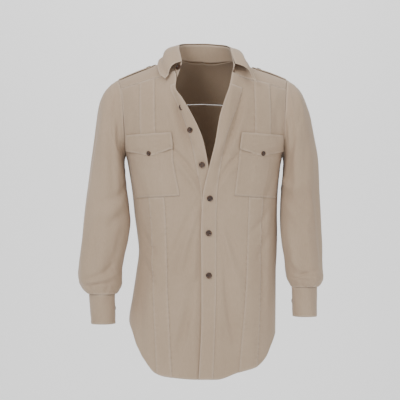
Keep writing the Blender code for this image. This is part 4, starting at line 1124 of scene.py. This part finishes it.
    def pucker(self, x: np.ndarray, z: np.ndarray) -> np.ndarray:
        """Give the small waves that the stitching draws into the cloth beside it."""
        lines = self.lines(z)
        total = np.zeros_like(x)
        for index, strength in ((3, 0.00065), (4, 0.00055), (1, 0.0003)):
            gap = (x - lines[..., index]) / 0.008
            wave = np.sin(2 * np.pi * z / 0.0135 + 2.4 * np.sin(z * 41.0 + index) + index)
            total = total + strength * wave * np.exp(-(gap**2))
        return total

    def strip(self, top: float, foot: float, first: int, last: int, lift: float) -> Cloth:
        """Cut a patch of the panel between rows and columns of the solid, moved out."""
        r0, c0 = self.mark(top, first)
        r1, c1 = self.mark(foot, last)
        return self.cloth.block(slice(r0, r1 + 1), slice(c0, c1 + 1), lift)

    def sampled(self, rows: np.ndarray, columns: np.ndarray, lift: np.ndarray | float) -> Cloth:
        """Cut a patch at any places of the solid's rows and columns, moved out.

        Args:
            rows: places in rows of the solid.
            columns: places in its columns, of the same shape.
            lift: how far out the patch lies.

        Returns:
            The patch with the panel's normals.
        """
        fine = np.interp(rows, np.arange(len(self.row_marks)), self.row_marks)
        points, normals = self.cloth.sample(fine, columns * self.steps)
        height = np.broadcast_to(np.asarray(lift, dtype=float), rows.shape)
        return Cloth(points + normals * height[..., None], (0, 0, 1), normals=normals)


@dataclass
class Fronts:
    """The two fronts with their bands, strips, pockets and flaps."""

    rack: Rack
    strip_lift: float = 0.0012
    flap_point: float = 1.45
    flap_drop: float = 1.95
    pleat_rise: float = 0.0011
    panels: dict[Side, FrontPanel] = field(default_factory=dict)

    def build(self) -> None:
        """Make both fronts and all that is sewn on them."""
        for side, folds in ((Side.RIGHT, RIGHT_FOLDS), (Side.LEFT, LEFT_FOLDS)):
            panel = FrontPanel(side, folds)
            self.panels[side] = panel
            self.front(panel)
            self.band(panel)
            self.strips(panel)
            self.pocket(panel)
            self.flap(panel)

    def front(self, panel: FrontPanel) -> None:
        """Make the front itself, with its hem and yoke stitching."""
        word = panel.side.word
        width = 0.27 if panel.side is Side.RIGHT else 0.26
        cloth_piece(f"shirt_front_{word}", panel.cloth, self.rack.khaki, (f"front_{word}",),
                    (width, 0.80))
        rows = [inset_path(panel.cloth, "foot", 0.0075), inset_path(panel.cloth, "foot", 0.0015),
                inset_path(panel.cloth, "top", 0.0018)]
        stitch_row(f"front_stitches_{word}", rows, self.rack.thread)

    def band(self, panel: FrontPanel) -> None:
        """Make the placket on the left front or the button stand on the right one."""
        name = "placket" if panel.side is Side.LEFT else "button_stand"
        last = len(panel.row_marks) - 1
        patch = panel.strip(1, last, EDGE_COLUMN, BAND_COLUMN, PLY)
        cloth_piece(f"sewn_{name}", patch, self.rack.khaki, (name,), (0.040, 0.76))
        rows = [inset_path(patch, "first", 0.0042), inset_path(patch, "last", 0.0042)]
        if panel.side is Side.RIGHT:
            rows = [inset_path(patch, "first", 0.0025), inset_path(patch, "last", 0.0022)]
        stitch_row(f"{name}_stitches", rows, self.rack.thread)

    def strips(self, panel: FrontPanel) -> None:
        """Make the two pleat strips, above and below the pocket."""
        word = panel.side.word
        last = len(panel.row_marks) - 1
        parts = (("chest_strip", 0.0, POCKET_TOP_ROW + 0.3, 0.31),
                 ("body_strip", float(POCKET_FOOT_ROW), float(last), 0.48))
        for name, top, foot, length in parts:
            r0, c0 = panel.mark(top, STRIP_IN_COLUMN)
            r1, c1 = panel.mark(foot, STRIP_OUT_COLUMN)
            across = np.linspace(0, 1, c1 - c0 + 1)
            down = np.arange(r1 - r0 + 1)
            puff = 0.0007 * np.sin(np.pi * across) ** 0.7
            crumple = 0.0005 * soft_noise(*np.meshgrid(across * 3.0, down * 0.33), 5.0, 2)
            wave = 0.00055 * np.sin(down * 2 * np.pi / 4.1 + 1.6 * np.sin(down * 0.21))
            edges = np.exp(-((np.minimum(across, 1 - across) / 0.22) ** 2))
            lift = self.strip_lift + puff[None] + crumple * 0.6 + wave[:, None] * edges[None]
            patch = panel.cloth.block(slice(r0, r1 + 1), slice(c0, c1 + 1),
                                      np.maximum(lift, PLY))
            cloth_piece(f"pleat_{name}_{word}", patch, self.rack.khaki, (f"{name}_{word}",),
                        (0.043, length))
            rows = [inset_path(patch, "first", 0.0016), inset_path(patch, "last", 0.0016)]
            stitch_row(f"{name}_stitches_{word}", rows, self.rack.thread)

    def pocket(self, panel: FrontPanel) -> None:
        """Make the patch pocket, with the pleat standing up down its middle."""
        word = panel.side.word
        r0, c0 = panel.mark(POCKET_TOP_ROW, POCKET_IN_COLUMN)
        r1, c1 = panel.mark(POCKET_FOOT_ROW, POCKET_OUT_COLUMN)
        columns = np.arange(c0, c1 + 1) / panel.steps
        rows = np.arange(r1 - r0 + 1)
        inner = np.clip((columns - STRIP_IN_COLUMN + 0.04) / 0.14, 0, 1)
        outer = np.clip((STRIP_OUT_COLUMN + 0.04 - columns) / 0.14, 0, 1)
        pleat = self.pleat_rise * np.minimum(inner, outer)
        share = rows / rows[-1]
        across = (columns - columns[0]) / (columns[-1] - columns[0])
        edge = np.minimum(np.minimum(across[None], 1 - across[None]) * 3.2,
                          np.minimum(share[:, None], 1 - share[:, None]) * 3.6)
        puff = 0.0016 * np.sin(np.pi / 2 * np.clip(edge * 1.6, 0, 1)) ** 0.8
        crumple = 0.0009 * soft_noise(*np.meshgrid(across * 4.0, rows * 0.17), 7.0, 3)
        wave = 0.0005 * np.sin(rows * 2 * np.pi / 3.7 + np.sin(rows * 0.3))[:, None]
        near = np.exp(-((edge / 0.3) ** 2))
        lift = PLY + 0.0002 + pleat[None] + puff + crumple * np.clip(edge * 2, 0, 1) + wave * near
        patch = panel.cloth.block(slice(r0, r1 + 1), slice(c0, c1 + 1), np.maximum(lift, PLY))
        cloth_piece(f"chest_pocket_{word}", patch, self.rack.khaki, (f"pocket_{word}",),
                    (0.135, 0.155))
        rows = [inset_path(patch, side, inset) for side in ("first", "last", "foot")
                for inset in (0.0016, 0.0075)]
        stitch_row(f"pocket_stitches_{word}", rows, self.rack.thread)

    def flap(self, panel: FrontPanel) -> None:
        """Make the pointed flap that buttons down over the pocket."""
        word = panel.side.word
        first, last = POCKET_IN_COLUMN - 0.12, POCKET_OUT_COLUMN + 0.12
        middle = (STRIP_IN_COLUMN + STRIP_OUT_COLUMN) / 2
        columns = np.linspace(first, last, 57)
        share = np.where(columns <= middle, (columns - first) / (middle - first),
                         (last - columns) / (last - middle))
        foot = POCKET_TOP_ROW + self.flap_drop + self.flap_point * share
        down = np.linspace(0, 1, 31)[:, None]
        rows = POCKET_TOP_ROW - 0.10 + (foot[None] - POCKET_TOP_ROW + 0.10) * down
        lift = (0.0036 + 0.0017 * down + 0.0010 * np.sin(np.pi * down) * np.sin(np.pi * share)[None]
                + 0.0016 * down**2 * np.cos(columns * 2.1 + 0.8)[None] * (share[None] < 0.85))
        crumple = 0.0006 * soft_noise(*np.meshgrid(columns * 0.7, down[:, 0] * 3.0), 11.0, 2)
        patch = panel.sampled(rows, np.broadcast_to(columns, rows.shape), lift + crumple)
        cloth_piece(f"flap_of_pocket_{word}", patch, self.rack.khaki, (f"pocket_flap_{word}",),
                    (0.137, 0.080), thick=0.0011)
        lines = [inset_path(patch, side, inset) for side in ("first", "last", "foot")
                 for inset in (0.0016, 0.0068)]
        lines += [inset_path(patch, "top", 0.0016), inset_path(patch, "top", 0.0065)]
        stitch_row(f"flap_stitches_{word}", lines, self.rack.thread)


@dataclass
class Back:
    """The back and the yoke that joins it to the fronts."""

    rack: Rack
    columns: int = 22
    skirt_rows: int = 15
    fine: int = 4
    neck: float = 0.082

    def build(self) -> None:
        """Make the back and the yoke."""
        back = self.back()
        cloth_piece("shirt_back", back, self.rack.khaki, ("back",), (0.56, 0.76))
        yoke = self.yoke()
        cloth_piece("shoulder_yoke", yoke, self.rack.khaki, ("yoke",), (0.47, 0.30))
        rows = [inset_path(back, "foot", 0.0075), inset_path(back, "foot", 0.0015)]
        stitch_row("back_stitches", rows, self.rack.thread)
        rows = [inset_path(yoke, "top", 0.0018), inset_path(yoke, "top", 0.0065)]
        stitch_row("yoke_stitches", rows, self.rack.thread)

    def seam(self) -> float:
        """Give the angle of the back yoke seam over the shoulder."""
        return 180 - TORSO.angle_at(TORSO.loop_height(BACK_SEAM_STEP), TORSO.tip(Side.RIGHT))

    def back(self) -> Cloth:
        """Work out the back's grid with its folds."""
        drop = ARMPIT_STEP - CHEST_STEP + 1
        total = drop + self.skirt_rows
        stops = np.concatenate((np.linspace(0, drop, drop * 6 + 1),
                                np.linspace(drop, total, self.skirt_rows * 9 + 1)[1:]))
        places = np.linspace(0, self.columns, self.columns * self.fine + 1)
        rows, columns = np.meshgrid(stops, places, indexing="ij")
        turn = -np.pi / 2 + np.pi * columns / self.columns
        share = np.sign(turn) * np.abs(np.sin(turn)) ** (2 / SQUARENESS)
        share = 0.45 * share + 0.55 * (2 * columns / self.columns - 1)
        sign = np.where(share < 0, -1, 1)
        hem = Curve(HEM)
        first = self.seam() + SEAM_TURN
        angle = first + (180 - first) * np.clip(rows, 0, 1)
        heights = np.array([TORSO.loop_height(min(CHEST_STEP - 1 + stop, ARMPIT_STEP))
                            for stop in stops])[:, None]
        height = np.full(rows.shape, -0.3)
        for _ in range(10):
            edge = np.where(height > ARMPIT, TORSO.armhole(sign, height),
                            TORSO.half_width(sign, height))
            across = share * edge
            skirt = ARMPIT + (hem(across)[..., 1] - ARMPIT) * (rows - drop) / self.skirt_rows
            over = TORSO.over(across, angle)[..., 2]
            height = np.where(rows < 1, over, np.where(rows <= drop, heights, skirt))
        points = np.where((rows < 1)[..., None], TORSO.over(across, angle),
                          TORSO.form(across, height, 1))
        points[..., 1] = np.maximum(points[..., 1], 0.0002)
        plain = Cloth(points, (0.0, 1.0, 0.0))
        x, z = plain.points[..., 0], plain.points[..., 2]
        lift = sum(fold.heights(x, z) for fold in BACK_RELIEF)
        lift = lift + 0.0013 * soft_noise(x * 11.0, z * 6.0, 17.0)
        lift = lift + 0.0004 * soft_noise(x * 50.0, z * 30.0, 19.0, 2)
        reach = TORSO.half_width(np.where(x < 0, -1, 1), z) - np.abs(x)
        return plain.raised(lift * np.clip(reach / 0.03, 0, 1))

    def yoke(self) -> Cloth:
        """Work out the yoke's grid, from the back seam to the front seams."""
        shoulder = np.linspace(0, 1, 7 * 5 + 1)
        behind = np.linspace(0, 1, 14 * 5 + 1)[1:-1]
        front = {side: TORSO.angle_at(TORSO.loop_height(FRONT_SEAM_STEP), TORSO.tip(side)) + SEAM_TURN
                 for side in Side}
        back = self.seam() - SEAM_TURN
        t = np.linspace(0, 1, 41)[:, None]
        blocks = []
        for side, share in ((Side.RIGHT, shoulder), (None, behind), (Side.LEFT, shoulder[::-1])):
            if side is None:
                reach = np.cos(np.pi * share)
                far = np.clip((np.abs(reach) - 0.90) / 0.10, 0, 1)
                inner = -self.neck * np.sign(reach) * np.abs(reach) ** 0.85
                inner = np.where(far > 0, -np.sign(reach) * (self.neck - 0.004 * far), inner)
                rise = np.sqrt(np.maximum(1 - (np.abs(reach) / 0.90) ** 2, 0.0))
                end = np.where(far > 0, 90 - 40 * far, 90 + 31 * rise)
                across = -0.100 * reach + (inner + 0.100 * reach) * t
                angle = back + (end - back) * t
            else:
                inner = side.value * (0.0775 if side is Side.RIGHT else 0.0770)
                angle = np.broadcast_to(back + (front[side] - back) * t, (len(t), len(share)))
                across = np.full(angle.shape, side.value * 0.15)
                neck = side.value * 0.100 + (inner - side.value * 0.100) * t
                for _ in range(8):
                    edge = side.value * TORSO.armhole(side.value, TORSO.over(across, angle)[..., 2])
                    across = edge + (neck - edge) * share
            blocks.append(TORSO.over(across, angle))
        plain = Cloth(np.concatenate(blocks, axis=1), (0.0, 0.6, 0.8))
        x, y = plain.points[..., 0], plain.points[..., 1]
        lift = 0.0006 * soft_noise(x * 12.0, y * 12.0, 23.0)
        calm = np.clip((0.20 - np.abs(x)) / 0.03, 0, 1) * np.clip((np.abs(x) - 0.085) / 0.02, 0, 1)
        return plain.raised(lift * calm)


@dataclass
class Sleeve:
    """One long sleeve, its cuff and the strap on the shoulder above it."""

    rack: Rack
    side: Side
    folds: Sequence[Fold]
    rings: int = 14
    fine: int = 11
    around: int = 4
    degree: float = 35.0
    cloth: Cloth | None = None

    def build(self) -> None:
        """Make the sleeve, the cuff and the shoulder strap."""
        word = self.side.word
        self.cloth = self.sleeve()
        cloth_piece(f"shirt_sleeve_{word}", self.cloth, self.rack.khaki, (f"sleeve_{word}",),
                    (0.46, 0.55))
        stitch_row(f"armhole_stitches_{word}", [inset_path(self.cloth, "top", 0.0022),
                                                inset_path(self.cloth, "top", 0.0075)],
                   self.rack.thread)
        self.cuff()
        self.epaulette()

    def armhole(self, steps: np.ndarray) -> np.ndarray:
        """Give the points of the armhole's edge, from the shoulder tip by the front."""
        sign = self.side.value
        height = (TIP + ARMPIT) / 2 + (TIP - ARMPIT) / 2 * np.cos(2 * np.pi * steps / LOOP_STEPS)
        face = np.where(steps <= ARMPIT_STEP, -1, 1)
        across = sign * TORSO.armhole(sign, height)
        share = np.clip((height - CHEST) / (TORSO.tip(self.side) - CHEST), 0.0, 1.0)
        angle = np.degrees(np.arcsin(share ** (CAP / 2)))
        angle = np.where(face < 0, angle, 180 - angle)
        depth = TORSO.slice_depth(across, height, face)
        flat = np.stack((across, face * depth, height), axis=-1)
        return np.where((height > CHEST)[:, None], TORSO.over(across, angle), flat)

    def sleeve(self) -> Cloth:
        """Work out the sleeve's grid with its folds."""
        sign = self.side.value
        table = RIGHT_SLEEVE if self.side is Side.RIGHT else LEFT_SLEEVE
        curve = Curve([(ring, *row) for ring, row in enumerate(table, 1)])
        steps = np.linspace(0, LOOP_STEPS, LOOP_STEPS * self.around, endpoint=False)
        start = self.armhole(steps)
        start[:, 0] += sign * 0.0007
        stops = np.linspace(0, self.rings, self.rings * self.fine + 1)
        values = curve(np.maximum(stops, 1.0))
        outer_x, outer_z, inner_x, inner_z, middle, deep = (values[:, k, None] for k in range(6))
        turn = 2 * np.pi * steps / LOOP_STEPS
        c = np.sign(np.cos(turn)) * np.abs(np.cos(turn)) ** (2 / SLEEVE_SQUARENESS)
        s = np.sign(np.sin(turn)) * np.abs(np.sin(turn)) ** (2 / SLEEVE_SQUARENESS)
        across = (outer_x + inner_x) / 2 + (outer_x - inner_x) / 2 * c
        height = (outer_z + inner_z) / 2 + (outer_z - inner_z) / 2 * c
        rings = np.stack((sign * across, middle - deep * s, height), axis=-1)
        head = np.clip(stops, 0, 1)[:, None, None]
        points = start[None] + (rings - start[None]) * head
        plain = Cloth(points, (0.0, -1.0, 0.0), closed=True)
        if np.dot(plain.normals[8 * self.fine, 6 * self.around], (0.0, -1.0, 0.0)) < 0:
            plain = Cloth(points, (0.0, 1.0, 0.0), closed=True)
        degrees = np.broadcast_to(360 * steps / LOOP_STEPS, points.shape[:2])
        along = np.broadcast_to(stops[:, None], points.shape[:2])
        lift = np.zeros(points.shape[:2])
        for fold in self.folds:
            middle_turn = (fold.x0 + fold.x1) / 2
            around = (degrees - middle_turn + 180) % 360 - 180 + middle_turn
            lift += fold.heights(around, along, self.degree)
        ring = np.radians(degrees)
        lift += 0.0016 * soft_noise(np.cos(ring) * 1.2 + along * 0.10, np.sin(ring) * 1.2
                                    + along * 0.33, 31.0 + sign)
        lift += 0.0004 * soft_noise(np.cos(ring) * 4 + along * 0.9, np.sin(ring) * 4 + along, 37.0, 2)
        gather = np.exp(-(((self.rings - along) / 1.0) ** 2))
        pleats = np.sin(ring * 17 + 1.4 * np.sin(ring * 3) + along * 0.35)
        lift += 0.0014 * gather * pleats * (0.6 + 0.4 * np.sin(ring * 2.0 + 1.0))
        lift *= np.clip(along / 0.35, 0, 1) * np.clip((self.rings - along) / 0.12, 0, 1)
        under = (np.abs(degrees - 180) < 40) & (along < 6.5)
        lift = np.where(under, np.minimum(lift, 0.0), lift)
        return plain.raised(lift)

    def cuff(self) -> None:
        """Make the cuff, whose ends lap at the back of the wrist."""
        word, sign = self.side.word, self.side.value
        outer_top, inner_top, top, outer_foot, inner_foot, foot = CUFFS[sign]
        count = (CUFF_STEPS + CUFF_LAP_STEPS) * 4
        step = np.linspace(0, CUFF_STEPS + CUFF_LAP_STEPS, count + 1)[None]
        level = np.linspace(0, 1, 23)[:, None]
        outer = outer_top + (outer_foot - outer_top) * level
        inner = inner_top + (inner_foot - inner_top) * level
        height = top + (foot - top) * level + 0 * step
        turn = np.radians(200) + 2 * np.pi * step / CUFF_STEPS
        drop = 0.0026 * np.clip((step - CUFF_STEPS + 4) / 4, 0, 1)
        wobble = 0.0010 * np.sin(turn * 2 + 0.7) * level + 0.0006 * np.sin(turn * 5 + level * 4)
        half = (outer - inner) / 2 - drop + wobble
        deep = CUFF_HALF_DEPTH - drop + wobble
        across = sign * ((outer + inner) / 2 + half * np.cos(turn))
        points = np.stack((across, CUFF_MIDDLE - deep * np.sin(turn), height), axis=-1)
        plain = Cloth(points, (0.0, 0.0, 1.0))
        centre = np.array((sign * (outer_top + inner_top) / 2, CUFF_MIDDLE, 0.0))
        away = points[6, 12] - centre
        if plain.normals[6, 12][0] * away[0] + plain.normals[6, 12][1] * away[1] < 0:
            plain.normals = -plain.normals
        relief = 0.0005 * soft_noise(step * 0.7 + 0 * level, level * 3.0 + 0 * step, 41.0 + sign)
        pucker = 0.00045 * np.sin(step * 9.0) * np.exp(-((np.minimum(level, 1 - level) / 0.12) ** 2))
        normals = plain.normals
        cuff = Cloth(points + normals * (relief + pucker)[..., None], (0, 0, 1), normals=normals)
        cloth_piece(f"wrist_cuff_{word}", cuff, self.rack.khaki, (f"cuff_{word}",),
                    (0.285, 0.078), thick=0.0013)
        rows = [inset_path(cuff, side, 0.0055) for side in ("top", "foot", "first", "last")]
        rows += [inset_path(cuff, side, 0.0018) for side in ("top", "foot")]
        stitch_row(f"cuff_stitches_{word}", rows, self.rack.thread)

    def epaulette(self) -> None:
        """Make the shoulder strap, sewn in at the armhole and buttoned near the collar."""
        word, sign = self.side.word, self.side.value
        tip = float(TORSO.armhole(sign, np.array(TIP))) - 0.003
        place = np.linspace(-1, 1, 17)[None]
        share = np.linspace(0, 1, 41)[:, None]
        inner = EPAULETTE_INNER + 0.010 * np.abs(place)
        across = sign * (tip + (inner - tip) * share)
        angle = 90 + place * 14.5 + 0 * share
        plain = Cloth(TORSO.over(across, angle), (0.0, 0.0, 1.0))
        lift = 0.0018 + 0.0012 * np.sin(np.pi * share) + 0.0006 * np.cos(place * 1.5) + 0 * angle
        strap = Cloth(plain.points + plain.normals * lift[..., None], (0, 0, 1),
                      normals=plain.normals)
        cloth_piece(f"shoulder_strap_{word}", strap, self.rack.khaki, (f"epaulette_{word}",),
                    (0.045, 0.105), thick=0.0011)
        rows = [inset_path(strap, side, inset) for side in ("first", "last", "foot")
                for inset in (0.0016, 0.006)]
        stitch_row(f"strap_stitches_{word}", rows, self.rack.thread)


@dataclass
class Collar:
    """The collar stand and the leaf that folds over it."""

    rack: Rack
    columns: int = 180
    stand_rows: int = 10
    leaf_rows: int = 26
    bulge: float = 0.010

    def build(self) -> None:
        """Make the stand and the leaf."""
        stand = self.stand()
        cloth_piece("neck_stand", stand, self.rack.khaki, ("collar_stand",),
                    (0.46, 0.045), thick=0.0012)
        stitch_row("stand_stitches", [inset_path(stand, "top", 0.0020)], self.rack.thread)
        leaf = self.leaf()
        cloth_piece("collar_fall", leaf, self.rack.khaki, ("collar_leaf",),
                    (0.52, 0.085), thick=0.0012)
        rows = [inset_path(leaf, "foot", 0.0055, 0.01, 0.99),
                inset_path(leaf, "first", 0.0055, 0.05, 0.93),
                inset_path(leaf, "last", 0.0055, 0.05, 0.93)]
        stitch_row("collar_stitches", rows, self.rack.thread)

    def table(self) -> Curve:
        """Give the collar's stations as curves round the neck."""
        return Curve([(place, *row) for place, row in enumerate(COLLAR)])

    def stand(self) -> Cloth:
        """Work out the stand's grid, from its foot to the fold line."""
        feet = []
        for place, (across, height, *_) in enumerate(COLLAR):
            if height < -0.005:
                ridge = float(TORSO.ridge(np.array(across)))
                feet.append((place, across, TORSO.angle_at(height, ridge)))
            else:
                feet.append((place, across, 90 + 31 * max(1 - (across / 0.082) ** 2, 0) ** 0.5))
        place = np.linspace(0, len(COLLAR) - 1, self.columns + 1)
        foot_values = Curve(feet)(place)
        foot = TORSO.over(foot_values[:, 0], foot_values[:, 1])
        top = self.table()(place)[:, 2:5]
        rise = (top - foot) / np.linalg.norm(top - foot, axis=1, keepdims=True)
        foot, top = foot + rise * 0.0030, top - rise * 0.0024
        share = np.linspace(0, 1, self.stand_rows + 1)[:, None, None]
        return Cloth(foot[None] + (top - foot)[None] * share, (0.0, 1.0, 0.0))

    def leaf(self) -> Cloth:
        """Work out the leaf's grid, from the fold line to its free edge."""
        place = np.linspace(0, len(COLLAR) - 1, self.columns + 1)
        values = self.table()(place)
        fold, edge = values[:, 2:5], values[:, 5:8]
        away = edge - fold
        away[:, 2] = 0.0
        away = away / np.linalg.norm(away, axis=1, keepdims=True)
        share = np.linspace(0, 1, self.leaf_rows + 1)[:, None, None]
        bulge = self.bulge * np.sin(np.pi * np.minimum(share * 1.25, 1.0))
        out = bulge + 0.002 * np.minimum(share * 5, 1.0)
        up = np.array((0.0, 0.0, 1.0))
        points = fold[None] + (edge - fold)[None] * share + away[None] * out
        points = points + up * (0.5 * bulge + 0.0016)
        plain = Cloth(points, (0.0, 0.5, 0.8))
        x, y = np.meshgrid(np.arange(self.columns + 1) * 0.11, share[:, 0, 0] * 3.0)
        lift = 0.0007 * soft_noise(x, y, 43.0) * np.minimum(share[..., 0] * 4, 1.0)
        return Cloth(plain.points + plain.normals * lift[..., None], (0, 0, 1),
                     normals=plain.normals)


@dataclass
class Buttons:
    """The shirt's buttons: turned discs with a rim, four holes and a thread cross."""

    rack: Rack
    fronts: Fronts
    thick: float = 0.0026
    sides: int = 24
    hole_reach: float = 0.18
    hole_half: float = 0.07

    def build(self) -> None:
        """Put a dressed button where each solid one is."""
        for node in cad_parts:
            if "button_" in node and node != "button_stand" or node == "collar_button":
                self.button(node)

    def disc(self, radius: float) -> bmesh.types.BMesh:
        """Turn one button about its axis and sink its four holes.

        Args:
            radius: its outer radius.

        Returns:
            A mesh with its back at the origin, facing up.
        """
        thick = self.thick
        profile = ((0.0, 0.0), (0.86, 0.0), (0.97, 0.28), (1.0, 0.55), (0.97, 0.82), (0.90, 0.98),
                   (0.80, 1.0), (0.72, 0.90), (0.64, 0.66), (0.50, 0.56), (0.34, 0.54),
                   (0.18, 0.53), (0.0, 0.53))
        mesh = bmesh.new()
        verts = [mesh.verts.new((radius * reach, 0.0, thick * height)) for reach, height in profile]
        edges = [mesh.edges.new(pair) for pair in zip(verts, verts[1:])]
        bmesh.ops.spin(mesh, geom=verts + edges, cent=(0, 0, 0), axis=(0, 0, 1),
                       angle=2 * math.pi, steps=self.sides, use_merge=True)
        bmesh.ops.remove_doubles(mesh, verts=mesh.verts, dist=1e-6)
        bmesh.ops.recalc_face_normals(mesh, faces=mesh.faces)
        pits = []
        for face in mesh.faces:
            spot = face.calc_center_median()
            reach = math.hypot(spot.x, spot.y) / radius
            turn = math.degrees(math.atan2(spot.y, spot.x)) % 90
            if spot.z > thick * 0.4 and 0.18 < reach < 0.34 and 37 < turn < 53:
                pits.append(face)
        bmesh.ops.inset_individual(mesh, faces=pits, thickness=radius * 0.012)
        sunk = bmesh.ops.extrude_discrete_faces(mesh, faces=pits)["faces"]
        corners = list({vert for face in sunk for vert in face.verts})
        bmesh.ops.translate(mesh, verts=corners, vec=(0, 0, -thick * 0.45))
        return mesh

    def button(self, node: str) -> None:
        """Make one button in the place of its solid, with its thread.

        Args:
            node: the solid's name.
        """
        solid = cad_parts[node]
        corners = np.array([tuple(solid.matrix_world @ v.co) for v in solid.data.vertices])
        centre = corners.mean(axis=0)
        normal = np.linalg.svd(corners - centre)[2][2]
        mid = (corners.min(axis=0) + corners.max(axis=0)) / 2
        heights = (corners - centre) @ normal
        radius = float(np.linalg.norm((corners - centre) - np.outer(heights, normal), axis=1).max())
        outer = np.linalg.norm((corners - centre) - np.outer(heights, normal), axis=1) > 0.95 * radius
        if heights[outer].mean() - heights.min() > heights.max() - heights[outer].mean():
            normal, heights = -normal, -heights
        foot = mid - normal * ((mid - centre) @ normal) + normal * float(heights.min())
        turn = Vector((0.0, 0.0, 1.0)).rotation_difference(Vector(normal)).to_matrix().to_4x4()
        place = Matrix.Translation(Vector(foot)) @ turn
        mesh = self.disc(radius)
        bmesh.ops.transform(mesh, matrix=place, verts=mesh.verts)
        data = bpy.data.meshes.new(f"turned_{node}")
        for face in mesh.faces:
            face.smooth = True
        mesh.to_mesh(data)
        mesh.free()
        data.materials.append(self.rack.horn)
        made = bpy.data.objects.new(f"turned_{node}", data)
        bpy.context.scene.collection.objects.link(made)
        smooth = made.modifiers.new("rounding", "SUBSURF")
        smooth.levels = smooth.render_levels = 1
        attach(made, "root")
        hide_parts(node)
        self.thread(node, place, radius)
        LOG.info("%s: %.1f mm across", made.name, radius * 2000)

    def thread(self, node: str, place: Matrix, radius: float) -> None:
        """Sew one button on with a cross of thread.

        Args:
            node: the solid's name.
            place: where the button is.
            radius: the button's radius.
        """
        mesh = bmesh.new()
        for turn in (45, 135):
            spin = Matrix.Rotation(math.radians(turn), 4, "Z")
            for aside in (-0.00022, 0.00022):
                size = Matrix.Diagonal((radius * 0.56, 0.00040, 0.0005, 1.0))
                middle = Matrix.Translation((0.0, aside, self.thick * 0.53 + 0.0001))
                bmesh.ops.create_cube(mesh, size=1.0, matrix=place @ spin @ middle @ size)
        data = bpy.data.meshes.new(f"thread_of_{node}")
        mesh.to_mesh(data)
        mesh.free()
        data.materials.append(self.rack.dark)
        made = bpy.data.objects.new(f"thread_of_{node}", data)
        bpy.context.scene.collection.objects.link(made)
        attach(made, "root")


@dataclass
class Studio:
    """A pale sweep behind and under the shirt, soft lights and the camera."""

    centre: tuple[float, float, float] = (-0.0104, 0.0, -0.348)
    distance: float = 4.0
    seen: float = 1.04
    floor: float = -1.15

    def build(self) -> None:
        """Make the sweep, the lights and the camera."""
        self.sweep()
        self.lights()
        self.camera()

    def sweep(self) -> None:
        """Make a floor that curves up into a backdrop."""
        mesh = bmesh.new()
        bmesh.ops.create_grid(mesh, x_segments=1, y_segments=40, size=1.0)
        for vert in mesh.verts:
            run = (vert.co.y + 1) / 2 * 9.0
            bend = min(max(run - 5.0, 0.0), 1.6)
            turn = bend / 1.6 * math.pi / 2
            radius = 1.6 / (math.pi / 2)
            y = min(run, 5.0) - 3.0 + radius * math.sin(turn)
            z = self.floor + radius * (1 - math.cos(turn)) + max(run - 6.6, 0.0)
            vert.co = (vert.co.x * 6.0, y, z)
        for face in mesh.faces:
            face.smooth = True
        data = bpy.data.meshes.new("studio_sweep")
        mesh.to_mesh(data)
        mesh.free()
        paint = bpy.data.materials.new("pale_sweep")
        paint.use_nodes = True
        shader = paint.node_tree.nodes["Principled BSDF"]
        shader.inputs["Base Color"].default_value = (0.93, 0.93, 0.93, 1.0)
        shader.inputs["Roughness"].default_value = 0.9
        data.materials.append(paint)
        made = bpy.data.objects.new("studio_sweep", data)
        bpy.context.scene.collection.objects.link(made)

    def lights(self) -> None:
        """Light the shirt softly from the front, above and both sides."""
        world = bpy.data.worlds.new("studio_world")
        world.use_nodes = True
        world.node_tree.nodes["Background"].inputs["Color"].default_value = (1.0, 1.0, 1.0, 1.0)
        world.node_tree.nodes["Background"].inputs["Strength"].default_value = 0.55
        bpy.context.scene.world = world
        for name, spot, size, power in (
            ("key_light", (-1.6, -2.6, 1.5), 1.3, 62.0),
            ("fill_light", (2.2, -2.4, 0.5), 1.6, 26.0),
            ("top_light", (0.0, 0.2, 2.0), 1.6, 22.0),
            ("backdrop_light", (0.0, 1.2, 1.6), 2.5, 60.0),
        ):
            lamp = bpy.data.lights.new(name, "AREA")
            lamp.size = size
            lamp.energy = power
            made = bpy.data.objects.new(name, lamp)
            aim = Vector((0.0, 0.0, -0.4)) if name != "backdrop_light" else Vector((0.0, 3.2, 0.0))
            made.location = spot
            made.rotation_euler = (aim - Vector(spot)).to_track_quat("-Z", "Y").to_euler()
            bpy.context.scene.collection.objects.link(made)

    def camera(self) -> None:
        """Put the camera straight in front, as the photograph was taken."""
        lens = bpy.data.cameras.new("studio_camera")
        lens.sensor_width = 36.0
        lens.lens = 36.0 * self.distance / self.seen
        made = bpy.data.objects.new("studio_camera", lens)
        made.location = (self.centre[0], -self.distance, self.centre[2])
        made.rotation_euler = (math.radians(90), 0.0, 0.0)
        bpy.context.scene.collection.objects.link(made)
        bpy.context.scene.camera = made


def main() -> None:
    """Build the shirt piece by piece, then the studio around it."""
    logging.basicConfig(level=logging.INFO, format="%(message)s")
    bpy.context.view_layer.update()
    rack = Rack()
    fronts = Fronts(rack)
    fronts.build()
    Back(rack).build()
    for side, folds in ((Side.RIGHT, RIGHT_SLEEVE_FOLDS), (Side.LEFT, LEFT_SLEEVE_FOLDS)):
        Sleeve(rack, side, folds).build()
    Collar(rack).build()
    Buttons(rack, fronts).build()
    Studio().build()
    bpy.context.view_layer.update()


if __name__ == "__main__":
    main()
